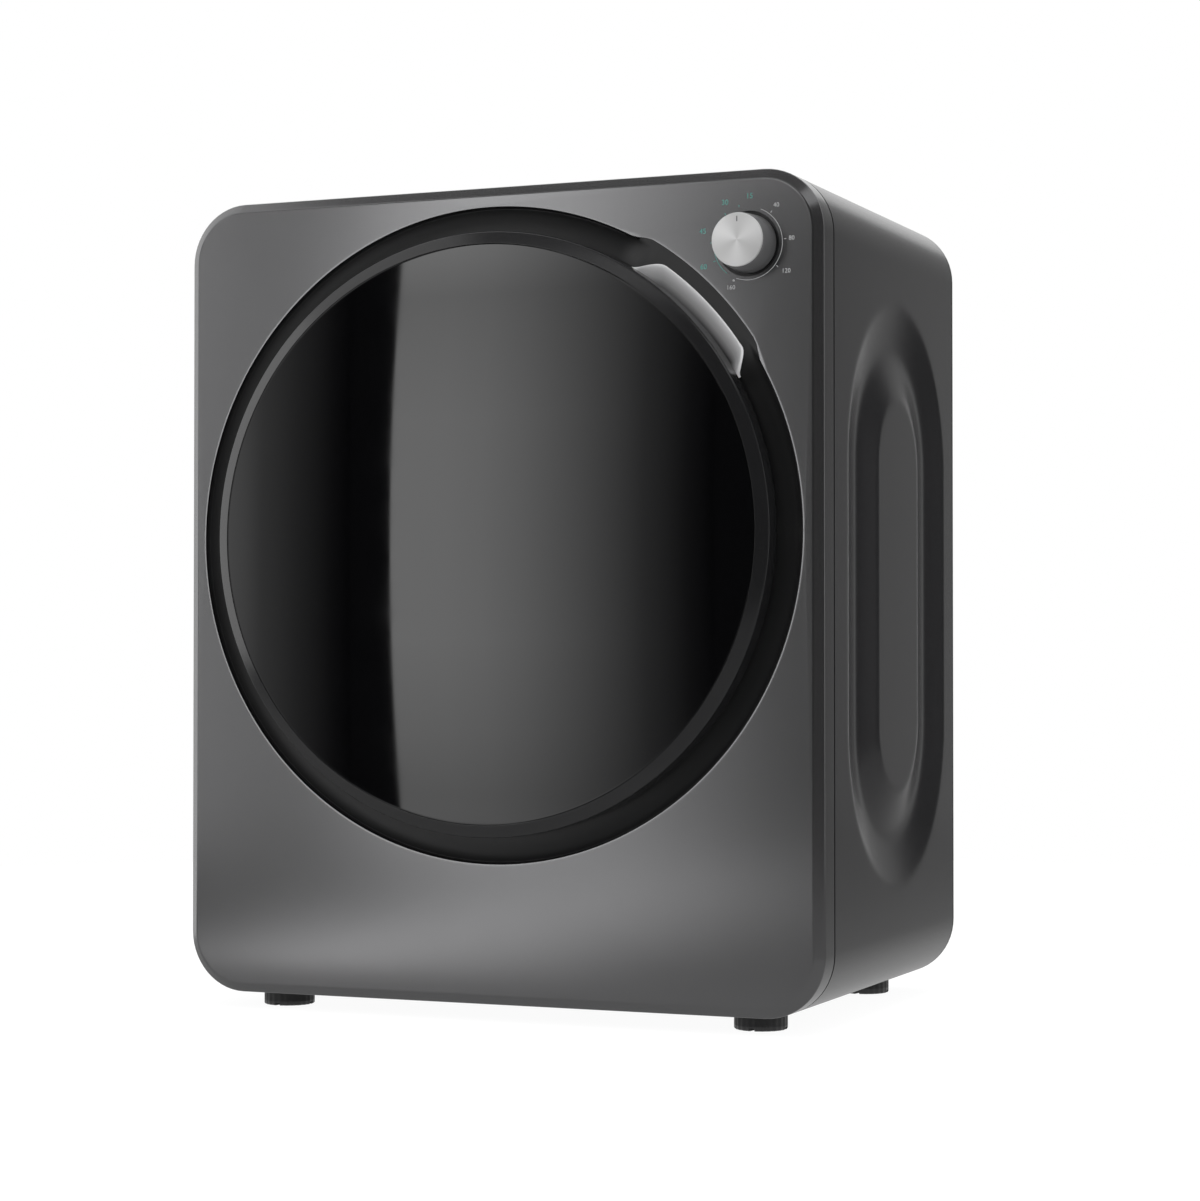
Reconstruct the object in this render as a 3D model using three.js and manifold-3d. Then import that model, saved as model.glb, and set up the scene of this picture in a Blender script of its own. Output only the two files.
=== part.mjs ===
// A compact vented clothes dryer: steel cabinet, round smoked door, drum, fan, heater, motor and timer.
// Millimetres, +Z up, the front faces -Y, and the origin is on the floor under the middle of the machine.
import * as THREE from "three";
import { mergeVertices } from "three/addons/utils/BufferGeometryUtils.js";
import Module from "manifold-3d";

const wasm = await Module();
wasm.setup();

// ---- Overall sizes
const WIDTH = 500;
const DEPTH = 400;
const HEIGHT = 600;
const FOOT_HEIGHT = 12;
const KNOB_PROUD = 22.5; // the knob is the foremost piece
const REAR_PROUD = 49.5; // the exhaust collar is the rearmost piece
const SEAT_GAP = 0.3; // between pieces that rest on each other
const RUNNING_GAP = 0.6; // between pieces that turn or slide past each other

// ---- Cabinet
const CORNER_RADIUS = 44;
const BEVEL_WIDTH = 6.7;
const BEVEL_DEPTH = 5.2;
const PANEL_SHEET = 2;
const SKIRT_DEPTH = 25;
const SEAM_GAP = 0.6;
const WRAP_SHEET = 1.2;
const REAR_SHEET = 1.5;
const REAR_CAP_DEPTH = 8;
const REAR_BEVEL = 5;
const BEAD_WIDTH = 70;
const BEAD_OUTER_WIDTH = 238;
const BEAD_OUTER_HEIGHT = 428;
const BEAD_CENTRE_HEIGHT = 295; // above the underside of the cabinet
const BEAD_DEPTH = 5.5;
const BEAD_MIDDLE = 176; // behind the front face
const BEAD_SLOPE = 30;
const BASE_SHEET = 2;
const BASE_MARGIN = 3; // clear of the bulkhead in front and of the rear cap behind
const FOOT_RADIUS = 19;
const FOOT_INSET_X = 61;
const FOOT_INSET_Y = 45;
const STUD_RADIUS = 4;
const STUD_LENGTH = 18; // above the foot pad
const STUD_BOSS_RADIUS = 8;
const STUD_BOSS_HEIGHT = 11;

// ---- Door opening and surround, as radii about the drum axis and depths behind the front face
const OPENING_MARGIN = 13.8; // panel left at each side of the round opening
const OPENING_TOP_MARGIN = 14.8;
const LOBE_ANGLE = 46; // degrees, where the finger scoop widens the opening
const LOBE_HALF_SPAN = 16;
const LOBE_RAMP = 4;
const LOBE_RISE = 4.5;
const SURROUND_WALL = 2.5;
const SURROUND_LIP = 4.2; // flange behind the front panel
const COVE_WIDTH = 19;
const COVE_DEPTH = 10;
const MOUTH_INSET = 40.2; // from the opening's edge in to the mouth
const COLLAR_DEPTH = 43;
const SCOOP_INSET = 6; // from the opening's edge in to the scoop's edge
const SCOOP_WIDTH = 25;
const SCOOP_HALF_SPAN = 14;
const SCOOP_DEPTH = 19;
const SCOOP_END_ROUND = 2.5; // degrees
const SCOOP_WALL = 1.5;
const BULKHEAD_DEPTH = 29.8;
const BULKHEAD_SHEET = 1.2;

// ---- Door, with depths behind the front face, so what stands proud is negative
const DOOR_INSET = 19.7; // from the opening's edge in to the door's edge
const DOOR_WALL = 3;
const DOOR_BACK = 2;
const DOOR_EDGE_PROUD = 14;
const DOOR_FRONT_PROUD = 18;
const DOOR_BEVEL = 9.5;
const GLASS_THICKNESS = 4;
const GLASS_CROWN = 2;
const GLASS_SHELF = 8;
const LINER_SHEET = 2.5;
const LINER_BACK = 1.5;
const PLUG_GAP = 5.5;
const PLUG_DEPTH = 30;
const WINDOW_SHEET = 3;
const SEAL_WIDTH = 6;
const SEAL_OUTER_GAP = 7; // from the mouth's edge out to the seal's edge
const HINGE_INSET = 6.5; // from the door's edge in to the hinge axis
const HINGE_PROUD = 4;
const HINGE_KNUCKLE_RADIUS = 3.8;
const HINGE_PIN_RADIUS = 2;
const HINGE_PIN_CLEARANCE = 0.35;
const HINGE_LEAF_HALF_HEIGHT = 21.5;
const HINGE_EAR_SHEET = 3;
const HINGE_EAR_NECK = 2;
const HINGE_PLATE_HALF_HEIGHT = 30;
const HINGE_PLATE_SHEET = 2;
const HINGE_LEAF_WIDTH = 16;
const HINGE_LEAF_SHEET = 2.4;
const HINGE_NOTCH_MARGIN = 3;
const HINGE_NOTCH_PROUD = 9;
const LATCH_INSET = 8.5; // from the door's edge in to the middle of the hook
const HOOK_THICKNESS = 4;
const HOOK_HEIGHT = 14;
const HOOK_REACH = 24; // behind the front face
const HOOK_BARB = 2.5;
const CATCH_WALL = 2.5;
const CATCH_CLEARANCE = 2;
const SWITCH_INSET = 8.5;
const PLUNGER_RADIUS = 2.5;
const PLUNGER_TRAVEL = 3;
const SWITCH_SIZE = 16;
const SWITCH_DEPTH = 14;
const SWITCH_WALL = 2.5;

// ---- Drum
const DRUM_MARGIN = 28; // from the cabinet's side to the drum
const DRUM_SHEET = 1;
const FELT_THICKNESS = 4.4;
const FELT_END = 42;
const LIP_START = 33;
const DRUM_FRONT_WALL = 45;
const DRUM_BACK_SHEET = 1.2;
const INNER_VENTS = 8;
const INNER_VENT_RADIUS = 13;
const INNER_VENT_CIRCLE = 72;
const OUTER_VENTS = 12;
const OUTER_VENT_RADIUS = 12;
const OUTER_VENT_CIRCLE = 182;
const LIFTERS = 3;
const LIFTER_HEIGHT = 34;
const LIFTER_BASE = 40;
const LIFTER_TOP = 18;
const LIFTER_END_GAP = 14;
const FILTER_RADIUS = 100;
const FILTER_DEPTH = 10;
const FILTER_RIM = 3;
const SCREEN_SHEET = 1.5;
const FILTER_SLOTS = 6;
const FILTER_SLOT_RADIUS = 16;
const FILTER_SLOT_CIRCLE = 66;
const SHAFT_RADIUS = 8;
const SHAFT_LENGTH = 28;
const SHAFT_FLANGE_RADIUS = 38;
const SHAFT_FLANGE_SHEET = 4;

// ---- Rear bulkhead, bearing and fan
const FAN_SPACE = 55; // from the rear bulkhead to the cabinet's rear face
const DRUM_REAR_GAP = 14;
const BEARING_RADIUS = 16.5;
const BEARING_WIDTH = 12;
const BEARING_HOUSING_WALL = 3;
const BEARING_FLANGE_RADIUS = 42;
const BEARING_FLANGE_SHEET = 2.5;
const FAN_RADIUS = 106;
const FAN_SHEET = 2.5;
const FAN_HUB_RADIUS = 14;
const FAN_SHAFT_RADIUS = 6;
const FAN_BLADES = 8;
const FAN_BLADE_START = 42;
const FAN_BLADE_DEPTH = 22;
const FAN_BLADE_SHEET = 2.5;
const FAN_PULLEY_RADIUS = 58;
const FAN_PULLEY_WIDTH = 9;
const FAN_TIP_GAP = 12;
const FAN_HOUSING_SHEET = 2;
const FAN_INLET_RADIUS = 92;
const OUTLET_REACH = 186;
const OUTLET_HEIGHT = 110;
const EXHAUST_RADIUS = 50;
const EXHAUST_WALL = 2.5;
const EXHAUST_FLANGE = 6;
const EXHAUST_FLANGE_SHEET = 2;
const COVER_SHEET = 2.5;
const COVER_PROUD = 12;
const COVER_MARGIN = 14;
const COVER_CORNER = 60;
const FAN_SHAFT_FLANGE_RADIUS = 22;
const FAN_SHAFT_FLANGE_SHEET = 3;

// ---- Heater and intake, behind the drum's outer ring of vents
const HEATER_X = 105;
const HEATER_BELOW_AXIS = 178;
const HEATER_WIDTH = 90;
const HEATER_HEIGHT = 56;
const HEATER_SHEET = 1.5;
const ELEMENT_DEPTH = 15;
const ELEMENT_SLOTS = 4;
const ELEMENT_BAR = 5;
const CUTOUT_RADIUS = 8;
const CUTOUT_HEIGHT = 7;
const GRILLE_MARGIN = 10;
const GRILLE_SHEET = 3;
const GRILLE_SLOTS = 5;
const GRILLE_BAR = 4;

// ---- Motor and belts
const MOTOR_INSET = 130; // from the cabinet's left side
const MOTOR_RADIUS = 42;
const MOTOR_LENGTH = 90;
const MOTOR_START = 168;
const MOTOR_END_STEP = 8;
const MOTOR_CLEARANCE = 8; // over the bracket's foot
const MOTOR_SHAFT_RADIUS = 5;
const MOTOR_SHAFT_CLEARANCE = 5; // in the rear bulkhead
const MOTOR_SHAFT_FRONT = 146;
const DRUM_PULLEY_RADIUS = 11;
const DRUM_BELT_START = 149;
const DRUM_BELT_WIDTH = 12;
const FAN_DRIVE_PULLEY_RADIUS = 14;
const BELT_THICKNESS = 3;
const BELT_CLEARANCE = 9; // from a pulley out to the edge of the slot in the fan housing
const PULLEY_FLANGE = 4;
const PULLEY_FLANGE_SHEET = 2;
const BRACKET_SHEET = 3;
const BRACKET_WIDTH = 96;
const BRACKET_INSET = 14;
const SADDLE_DROP = 14; // from the motor's axis down to the saddle's top
const CAPACITOR_OFFSET = 100; // from the motor's axis
const CAPACITOR_RADIUS = 17;
const CAPACITOR_LENGTH = 70;
const CAPACITOR_START = 190;
const CLIP_SHEET = 1.5;
const CLIP_WIDTH = 14;
const CLIP_TAB = 10;

// ---- Timer and knob
const KNOB_INSET = 53.8;
const KNOB_TOP_INSET = 52.2;
const KNOB_RADIUS = 20.5;
const KNOB_FRONT_RADIUS = 19;
const KNOB_FACE_RADIUS = 18.6;
const KNOB_FACE_SHEET = 1.5;
const KNOB_WALL = 3;
const KNOB_CLEARANCE = 2.3; // round the knob's foot, in the front panel
const KNOB_HUB_RADIUS = 6;
const TIMER_SHAFT_RADIUS = 3;
const TIMER_SHAFT_GRIP = 12;
const TIMER_RADIUS = 26;
const TIMER_DEPTH = 25;

// ---- Mains entry
const CORD_INLET_INSET = 50;
const CORD_INLET_HEIGHT = 60; // above the underside of the cabinet
const CORD_INLET_RADIUS = 9;
const CORD_INLET_FLANGE = 4;
const CORD_INLET_PROUD = 4;
const CORD_BORE_RADIUS = 4.5;
const CORD_INLET_LENGTH = 14;
const TERMINAL_OFFSET = 18; // from the cord's axis
const TERMINAL_WIDTH = 45;
const TERMINAL_DEPTH = 22;
const TERMINAL_HEIGHT = 20;

// ---- Roundness of the faceted curves
const RING_STEPS = 48;
const SMALL_STEPS = 16;
const VENT_STEPS = 8;
const BELT_STEPS = 18;
const MIDDLE_STEPS = 24;
const RAMP_STEPS = 3;
const CORNER_STEPS = 3;
const COVE_STEPS = 3;
const CROWN_STEPS = 2;
const WELD = 1e-4;
const PAST = 1; // how far a cutter runs past the face that it opens

// ---- Places that follow from the sizes above
const CABINET_DEPTH = DEPTH - KNOB_PROUD - REAR_PROUD;
const FRONT_Y = KNOB_PROUD - DEPTH / 2;
const CABINET_HEIGHT = HEIGHT - FOOT_HEIGHT;
const CABINET_MIDDLE = FOOT_HEIGHT + CABINET_HEIGHT / 2;
const OPENING_RADIUS = WIDTH / 2 - OPENING_MARGIN;
const AXIS_Z = HEIGHT - OPENING_TOP_MARGIN - OPENING_RADIUS;
const MOUTH_RADIUS = OPENING_RADIUS - MOUTH_INSET;
const COLLAR_RADIUS = MOUTH_RADIUS + SURROUND_WALL;
const DOOR_RADIUS = OPENING_RADIUS - DOOR_INSET;
const GLASS_RADIUS = DOOR_RADIUS - DOOR_BEVEL;
const PLUG_RADIUS = MOUTH_RADIUS - PLUG_GAP;
const HINGE_X = HINGE_INSET - DOOR_RADIUS;
const DRUM_RADIUS = WIDTH / 2 - DRUM_MARGIN;
const FELT_RADIUS = COLLAR_RADIUS + SEAT_GAP + FELT_THICKNESS;
const LIP_RADIUS = FELT_RADIUS + RUNNING_GAP;
const REAR_BULKHEAD_DEPTH = CABINET_DEPTH - FAN_SPACE;
const REAR_FACE_INSIDE = CABINET_DEPTH - REAR_SHEET;
const DRUM_BACK_DEPTH = REAR_BULKHEAD_DEPTH - DRUM_REAR_GAP;
const WRAP_START = SKIRT_DEPTH + SEAM_GAP;
const WRAP_END = CABINET_DEPTH - REAR_CAP_DEPTH - SEAM_GAP;
const WRAP_FLOOR = FOOT_HEIGHT + WRAP_SHEET;
const BASE_TOP = WRAP_FLOOR + SEAT_GAP + BASE_SHEET;
const BRACKET_TOP = BASE_TOP + SEAT_GAP + BRACKET_SHEET;
const MOTOR_X = MOTOR_INSET - WIDTH / 2;
const CAPACITOR_X = MOTOR_X + CAPACITOR_OFFSET;
const MOTOR_Z = BRACKET_TOP + MOTOR_CLEARANCE + MOTOR_RADIUS;
const MOTOR_BELOW_AXIS = AXIS_Z - MOTOR_Z;
const BACK_OF_BULKHEAD = REAR_BULKHEAD_DEPTH + BULKHEAD_SHEET + SEAT_GAP;
const COVER_START = CABINET_DEPTH + SEAT_GAP;
const COVER_END = COVER_START + COVER_PROUD;
const FAN_HOUSING_RADIUS = FAN_RADIUS + FAN_TIP_GAP + FAN_HOUSING_SHEET;
const FAN_PULLEY_END = REAR_FACE_INSIDE - RUNNING_GAP * 2;
const FAN_PULLEY_START = FAN_PULLEY_END - FAN_PULLEY_WIDTH;
const KNOB_X = WIDTH / 2 - KNOB_INSET;
const KNOB_Z = HEIGHT - KNOB_TOP_INSET;
const CORD_INLET_X = CORD_INLET_INSET - WIDTH / 2;
const EXHAUST_X = OUTLET_REACH - EXHAUST_RADIUS - EXHAUST_FLANGE;

// ---- Materials
const material = (color, roughness, metalness) =>
  new THREE.MeshStandardMaterial({ color, roughness, metalness });
const darkMetallic = material(0x6a6a6b, 0.38, 0.55);
const cabinetPaint = material(0x434344, 0.5, 0.3);
const blackMoulding = material(0x1b1b1c, 0.45, 0);
const greyMoulding = material(0x55575a, 0.55, 0);
const smokedGlass = material(0x0c0c0d, 0.06, 0);
const rubber = material(0x171717, 0.85, 0);
const stainless = material(0xb9bcbf, 0.32, 1);
const zincSteel = material(0x9a9ea2, 0.45, 0.9);
const spunAluminium = material(0xb2b3b4, 0.35, 1);
const felt = material(0xcfc9bb, 0.95, 0);
const whiteCeramic = material(0xe4e0d6, 0.6, 0);
const motorPaint = material(0x2c3f55, 0.5, 0.2);

// ---- Solids from three.js geometry
function solid(geometry) {
  const bare = new THREE.BufferGeometry();
  bare.setAttribute("position", geometry.getAttribute("position"));
  bare.setIndex(geometry.getIndex());
  const welded = mergeVertices(bare, WELD);
  const corners = [];
  const index = welded.index.array;
  for (let i = 0; i < index.length; i += 3) {
    const [a, b, c] = index.subarray(i, i + 3);
    if (a !== b && b !== c && c !== a) corners.push(a, b, c);
  }
  const vertProperties = welded.attributes.position.array;
  const build = (list) =>
    new wasm.Manifold(new wasm.Mesh({ numProp: 3, vertProperties, triVerts: new Uint32Array(list) }));
  const made = build(corners);
  return made.volume() < 0 ? build(corners.reverse()) : made;
}

const alongY = new THREE.Matrix4().makeBasis(
  new THREE.Vector3(1, 0, 0),
  new THREE.Vector3(0, 0, 1),
  new THREE.Vector3(0, -1, 0),
);
const alongX = new THREE.Matrix4().makeBasis(
  new THREE.Vector3(0, 1, 0),
  new THREE.Vector3(0, 0, 1),
  new THREE.Vector3(1, 0, 0),
);

// An outline drawn as seen from the front, standing between two depths.
function prism(outline, from, to, steps = CORNER_STEPS) {
  const geometry = new THREE.ExtrudeGeometry(outline, {
    depth: to - from,
    bevelEnabled: false,
    curveSegments: steps,
  });
  geometry.applyMatrix4(alongY).translate(0, to, 0);
  return solid(geometry);
}

// An outline drawn in plan, standing between two heights.
function column(outline, from, to, steps = SMALL_STEPS / 2) {
  const geometry = new THREE.ExtrudeGeometry(outline, {
    depth: to - from,
    bevelEnabled: false,
    curveSegments: steps,
  });
  return solid(geometry.translate(0, 0, from));
}

// A ring about the Y axis from a closed profile of [radius, depth].
function ring(profile, steps = RING_STEPS) {
  const points = [...profile, profile[0]].map(([r, y]) => new THREE.Vector2(r, y));
  return solid(new THREE.LatheGeometry(points, steps));
}

// A ring of plain rectangular section.
const band = (inner, outer, from, to, steps = RING_STEPS) =>
  ring([[inner, from], [outer, from], [outer, to], [inner, to]], steps);

// A round bar or disc about the Y axis.
function disc(radius, from, to, steps = SMALL_STEPS) {
  return solid(new THREE.CylinderGeometry(radius, radius, to - from, steps).translate(0, (from + to) / 2, 0));
}

// A round bar about the Z axis.
function post(radius, from, to, steps = SMALL_STEPS) {
  const geometry = new THREE.CylinderGeometry(radius, radius, to - from, steps);
  return solid(geometry.rotateX(Math.PI / 2).translate(0, 0, (from + to) / 2));
}

function block([x0, x1], [y0, y1], [z0, z1]) {
  const geometry = new THREE.BoxGeometry(x1 - x0, y1 - y0, z1 - z0);
  return solid(geometry.translate((x0 + x1) / 2, (y0 + y1) / 2, (z0 + z1) / 2));
}

function roundedRectangle(width, height, radius, x = 0, y = 0) {
  const w = width / 2;
  const h = height / 2;
  const r = Math.min(radius, w, h);
  const turn = Math.PI / 2;
  const outline = new THREE.Shape();
  outline.absarc(x + w - r, y + h - r, r, 0, turn);
  outline.absarc(x - w + r, y + h - r, r, turn, 2 * turn);
  outline.absarc(x - w + r, y - h + r, r, 2 * turn, 3 * turn);
  outline.absarc(x + w - r, y - h + r, r, 3 * turn, 4 * turn);
  return outline;
}

const radians = (degrees) => (degrees * Math.PI) / 180;

function mesh(name, piece, finish, parent) {
  const { vertProperties, triVerts } = piece.getMesh();
  const geometry = new THREE.BufferGeometry();
  geometry.setAttribute("position", new THREE.BufferAttribute(vertProperties, 3));
  geometry.setIndex(new THREE.BufferAttribute(triVerts, 1));
  const made = new THREE.Mesh(geometry, finish);
  made.name = name;
  parent.add(made);
  return made;
}

// ---- The groups: the cabinet stands on the floor, and round pieces lie about the drum axis
const dryer = new THREE.Group();
const cabinet = new THREE.Group();
cabinet.position.set(0, FRONT_Y, 0);
const axis = new THREE.Group();
axis.position.set(0, FRONT_Y, AXIS_Z);
dryer.add(cabinet, axis);

// ---- Front panel: a bevelled pan with a skirt and the round, lobed opening
function bodyOutline(inset) {
  return roundedRectangle(
    WIDTH - 2 * inset,
    CABINET_HEIGHT - 2 * inset,
    CORNER_RADIUS - inset,
    0,
    CABINET_MIDDLE,
  );
}

// A pan with one bevelled face at depth 0, running back to the given depth.
function bevelledPan(inset, start, depth, bevelWidth, bevelDepth) {
  const geometry = new THREE.ExtrudeGeometry(bodyOutline(inset), {
    depth: depth,
    bevelThickness: bevelDepth,
    bevelSize: bevelWidth,
    bevelOffset: -bevelWidth,
    bevelSegments: 1,
    curveSegments: CORNER_STEPS,
  });
  geometry.applyMatrix4(alongY).translate(0, start + bevelDepth + depth, 0);
  const behind = [start + depth, start + depth + 2 * bevelDepth + PAST];
  return solid(geometry).subtract(block([-WIDTH, WIDTH], behind, [-PAST, HEIGHT + PAST]));
}

// The opening's edge bulges outwards over the finger scoop.
function rimRadius(base, angle) {
  const off = Math.abs(angle - LOBE_ANGLE);
  const share = THREE.MathUtils.clamp((LOBE_HALF_SPAN - off) / LOBE_RAMP, 0, 1);
  return base + LOBE_RISE * share * share * (3 - 2 * share);
}

// Even steps all round, with closer ones where the lobe ramps up and down.
function rimOutline(base) {
  const angles = [];
  for (let i = 0; i < RING_STEPS; i++) angles.push((i * 360) / RING_STEPS);
  for (let i = 0; i <= RAMP_STEPS; i++) {
    const off = LOBE_HALF_SPAN - (i * LOBE_RAMP) / RAMP_STEPS;
    angles.push(LOBE_ANGLE - off, LOBE_ANGLE + off);
  }
  const points = angles
    .sort((a, b) => a - b)
    .map((angle) => {
      const r = rimRadius(base, angle);
      return new THREE.Vector2(r * Math.cos(radians(angle)), r * Math.sin(radians(angle)));
    });
  return new THREE.Shape(points);
}

const knobHole = KNOB_RADIUS + KNOB_CLEARANCE;
mesh(
  "front_panel",
  bevelledPan(0, 0, SKIRT_DEPTH, BEVEL_WIDTH, BEVEL_DEPTH)
    .subtract(bevelledPan(PANEL_SHEET, PANEL_SHEET, SKIRT_DEPTH, BEVEL_WIDTH, BEVEL_DEPTH))
    .subtract(prism(rimOutline(OPENING_RADIUS), -PAST, PANEL_SHEET + PAST).translate(0, 0, AXIS_Z))
    .subtract(disc(knobHole, -PAST, PANEL_SHEET + PAST, MIDDLE_STEPS).translate(KNOB_X, 0, KNOB_Z)),
  darkMetallic,
  cabinet,
);

// ---- Cabinet wrap: one folded sheet with a pressed racetrack bead in each side
function stadium(width, height, x, y) {
  return roundedRectangle(width, height, width / 2, x, y);
}

// The bead as a bar of sloped section, widest at the sheet's outside; grow thickens it all round.
function beadBar(grow, depth) {
  const middle = BEAD_MIDDLE;
  const height = FOOT_HEIGHT + BEAD_CENTRE_HEIGHT;
  const width = BEAD_OUTER_WIDTH + 2 * grow;
  const outline = stadium(width, BEAD_OUTER_HEIGHT + 2 * grow, middle, height);
  const inset = 2 * (BEAD_WIDTH + 2 * grow);
  outline.holes.push(stadium(width - inset, BEAD_OUTER_HEIGHT + 2 * grow - inset, middle, height));
  const geometry = new THREE.ExtrudeGeometry(outline, {
    depth: PAST,
    bevelThickness: depth,
    bevelSize: BEAD_SLOPE,
    bevelOffset: -BEAD_SLOPE,
    bevelSegments: 1,
    curveSegments: CORNER_STEPS + 1,
  });
  return solid(geometry.applyMatrix4(alongX).translate(WIDTH / 2, 0, 0));
}

const wrapInside = bodyOutline(WRAP_SHEET);
const dent = beadBar(0, BEAD_DEPTH);
const dentBack = beadBar(WRAP_SHEET, BEAD_DEPTH + WRAP_SHEET);
const farSide = block([WIDTH / 2, WIDTH], [0, DEPTH], [0, HEIGHT]);
const dentBulge = dentBack.subtract(farSide);
const dentRoom = beadBar(WRAP_SHEET + SEAT_GAP, BEAD_DEPTH + WRAP_SHEET + SEAT_GAP);
const footPlaces = [
  ["front_left", -1, FOOT_INSET_Y],
  ["front_right", 1, FOOT_INSET_Y],
  ["rear_left", -1, CABINET_DEPTH - FOOT_INSET_Y],
  ["rear_right", 1, CABINET_DEPTH - FOOT_INSET_Y],
].map(([place, side, depth]) => ({ place, x: side * (WIDTH / 2 - FOOT_INSET_X), depth }));

let wrap = prism(bodyOutline(0), WRAP_START, WRAP_END)
  .subtract(prism(wrapInside, WRAP_START - PAST, WRAP_END + PAST))
  .add(dentBulge)
  .add(dentBulge.mirror([1, 0, 0]))
  .subtract(dent)
  .subtract(dent.mirror([1, 0, 0]));
for (const { x, depth } of footPlaces) {
  const hole = post(STUD_RADIUS + RUNNING_GAP, FOOT_HEIGHT - PAST, WRAP_FLOOR + PAST);
  wrap = wrap.subtract(hole.translate(x, depth, 0));
}
mesh("cabinet_wrap", wrap, cabinetPaint, cabinet);

// ---- Rear panel: a shallow bevelled cap with the fan opening, the intake and the cord hole
const bevelledCap = (inset, end, depth) =>
  bevelledPan(inset, 0, depth, REAR_BEVEL, REAR_BEVEL).mirror([0, 1, 0]).translate(0, end, 0);
const coverLeft = -FAN_HOUSING_RADIUS - COVER_MARGIN;
const coverRight = OUTLET_REACH + COVER_MARGIN;
const coverHeight = 2 * (FAN_HOUSING_RADIUS + COVER_MARGIN);
const coverOutline = (inset) =>
  roundedRectangle(
    coverRight - coverLeft - 2 * inset,
    coverHeight - 2 * inset,
    COVER_CORNER - inset,
    (coverLeft + coverRight) / 2,
    AXIS_Z,
  );
const heaterZ = AXIS_Z - HEATER_BELOW_AXIS;
const heaterOutline = (grow) =>
  roundedRectangle(HEATER_WIDTH + 2 * grow, HEATER_HEIGHT + 2 * grow, HEATER_SHEET, HEATER_X, heaterZ);
const cordInletZ = FOOT_HEIGHT + CORD_INLET_HEIGHT;
const rearCut = [REAR_FACE_INSIDE - PAST, CABINET_DEPTH + PAST];
mesh(
  "rear_panel",
  bevelledCap(0, CABINET_DEPTH, REAR_CAP_DEPTH)
    .subtract(bevelledCap(REAR_SHEET, REAR_FACE_INSIDE, REAR_CAP_DEPTH))
    .subtract(prism(coverOutline(COVER_MARGIN), ...rearCut))
    .subtract(prism(heaterOutline(-HEATER_SHEET), ...rearCut))
    .subtract(disc(CORD_INLET_RADIUS + SEAT_GAP, ...rearCut).translate(CORD_INLET_X, 0, cordInletZ)),
  cabinetPaint,
  cabinet,
);

// ---- Base plate: a flat pressing with a threaded boss over each foot
const baseHalfWidth = WIDTH / 2 - CORNER_RADIUS;
const baseFront = BULKHEAD_DEPTH + BULKHEAD_SHEET + BASE_MARGIN;
const baseBack = CABINET_DEPTH - REAR_CAP_DEPTH - BASE_MARGIN;
const boreRadius = STUD_RADIUS + SEAT_GAP;
let basePlate = block(
  [-baseHalfWidth, baseHalfWidth],
  [baseFront, baseBack],
  [WRAP_FLOOR + SEAT_GAP, BASE_TOP],
);
for (const { x, depth } of footPlaces) {
  basePlate = basePlate
    .add(post(STUD_BOSS_RADIUS, WRAP_FLOOR + SEAT_GAP, BASE_TOP + STUD_BOSS_HEIGHT).translate(x, depth, 0))
    .subtract(post(boreRadius, FOOT_HEIGHT, BASE_TOP + STUD_BOSS_HEIGHT + PAST).translate(x, depth, 0));
}
mesh("base_plate", basePlate, zincSteel, cabinet);

// ---- Levelling feet: a moulded pad on a threaded stud
for (const { place, x, depth } of footPlaces) {
  const pad = post(FOOT_RADIUS, 0, FOOT_HEIGHT - SEAT_GAP);
  const stud = post(STUD_RADIUS, 0, FOOT_HEIGHT + STUD_LENGTH);
  mesh("foot_" + place, pad.add(stud), rubber, cabinet).position.set(x, depth, 0);
}

// ---- Front bulkhead: carries the drum's front slide ring and the door surround
const frontCut = [BULKHEAD_DEPTH - PAST, BULKHEAD_DEPTH + BULKHEAD_SHEET + PAST];
mesh(
  "front_bulkhead",
  prism(bodyOutline(WRAP_SHEET + SEAT_GAP), BULKHEAD_DEPTH, BULKHEAD_DEPTH + BULKHEAD_SHEET).subtract(
    disc(COLLAR_RADIUS + SEAT_GAP, ...frontCut, RING_STEPS).translate(0, 0, AXIS_Z),
  ),
  zincSteel,
  cabinet,
);

// ---- Door surround: a black coved ring with a collar into the drum and the finger scoop
const coveOuter = OPENING_RADIUS - SEAT_GAP;
const lipRadius = OPENING_RADIUS + SURROUND_LIP;
const lipStart = PANEL_SHEET + SEAT_GAP;

// A quarter-ellipse cove from an outer edge in front, down and in to a floor.
function cove(outer, width, from, to) {
  const points = [];
  for (let i = 0; i <= COVE_STEPS; i++) {
    const turn = (i / COVE_STEPS) * (Math.PI / 2);
    points.push([outer - width * (1 - Math.cos(turn)), from + (to - from) * Math.sin(turn)]);
  }
  return points;
}

const coveBack = COVE_DEPTH + SURROUND_WALL;
const surroundProfile = [
  ...cove(coveOuter, COVE_WIDTH, SEAT_GAP, COVE_DEPTH),
  [MOUTH_RADIUS, COVE_DEPTH],
  [MOUTH_RADIUS, COLLAR_DEPTH],
  [COLLAR_RADIUS, COLLAR_DEPTH],
  [COLLAR_RADIUS, coveBack],
  ...cove(coveOuter, COVE_WIDTH, SEAT_GAP + SURROUND_WALL, coveBack).reverse().slice(1),
  [lipRadius, lipStart + SURROUND_WALL],
  [lipRadius, lipStart],
  [coveOuter, lipStart],
];

// A stretch of ring around the scoop's middle, as an outline seen from the front.
function arcOutline(inner, outer, halfSpan, round) {
  const start = radians(LOBE_ANGLE - halfSpan);
  const end = radians(LOBE_ANGLE + halfSpan);
  const pull = radians(round);
  const outline = new THREE.Shape();
  outline.absarc(0, 0, outer, start + pull, end - pull);
  outline.absarc(0, 0, inner, end, start, true);
  return outline;
}

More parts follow.
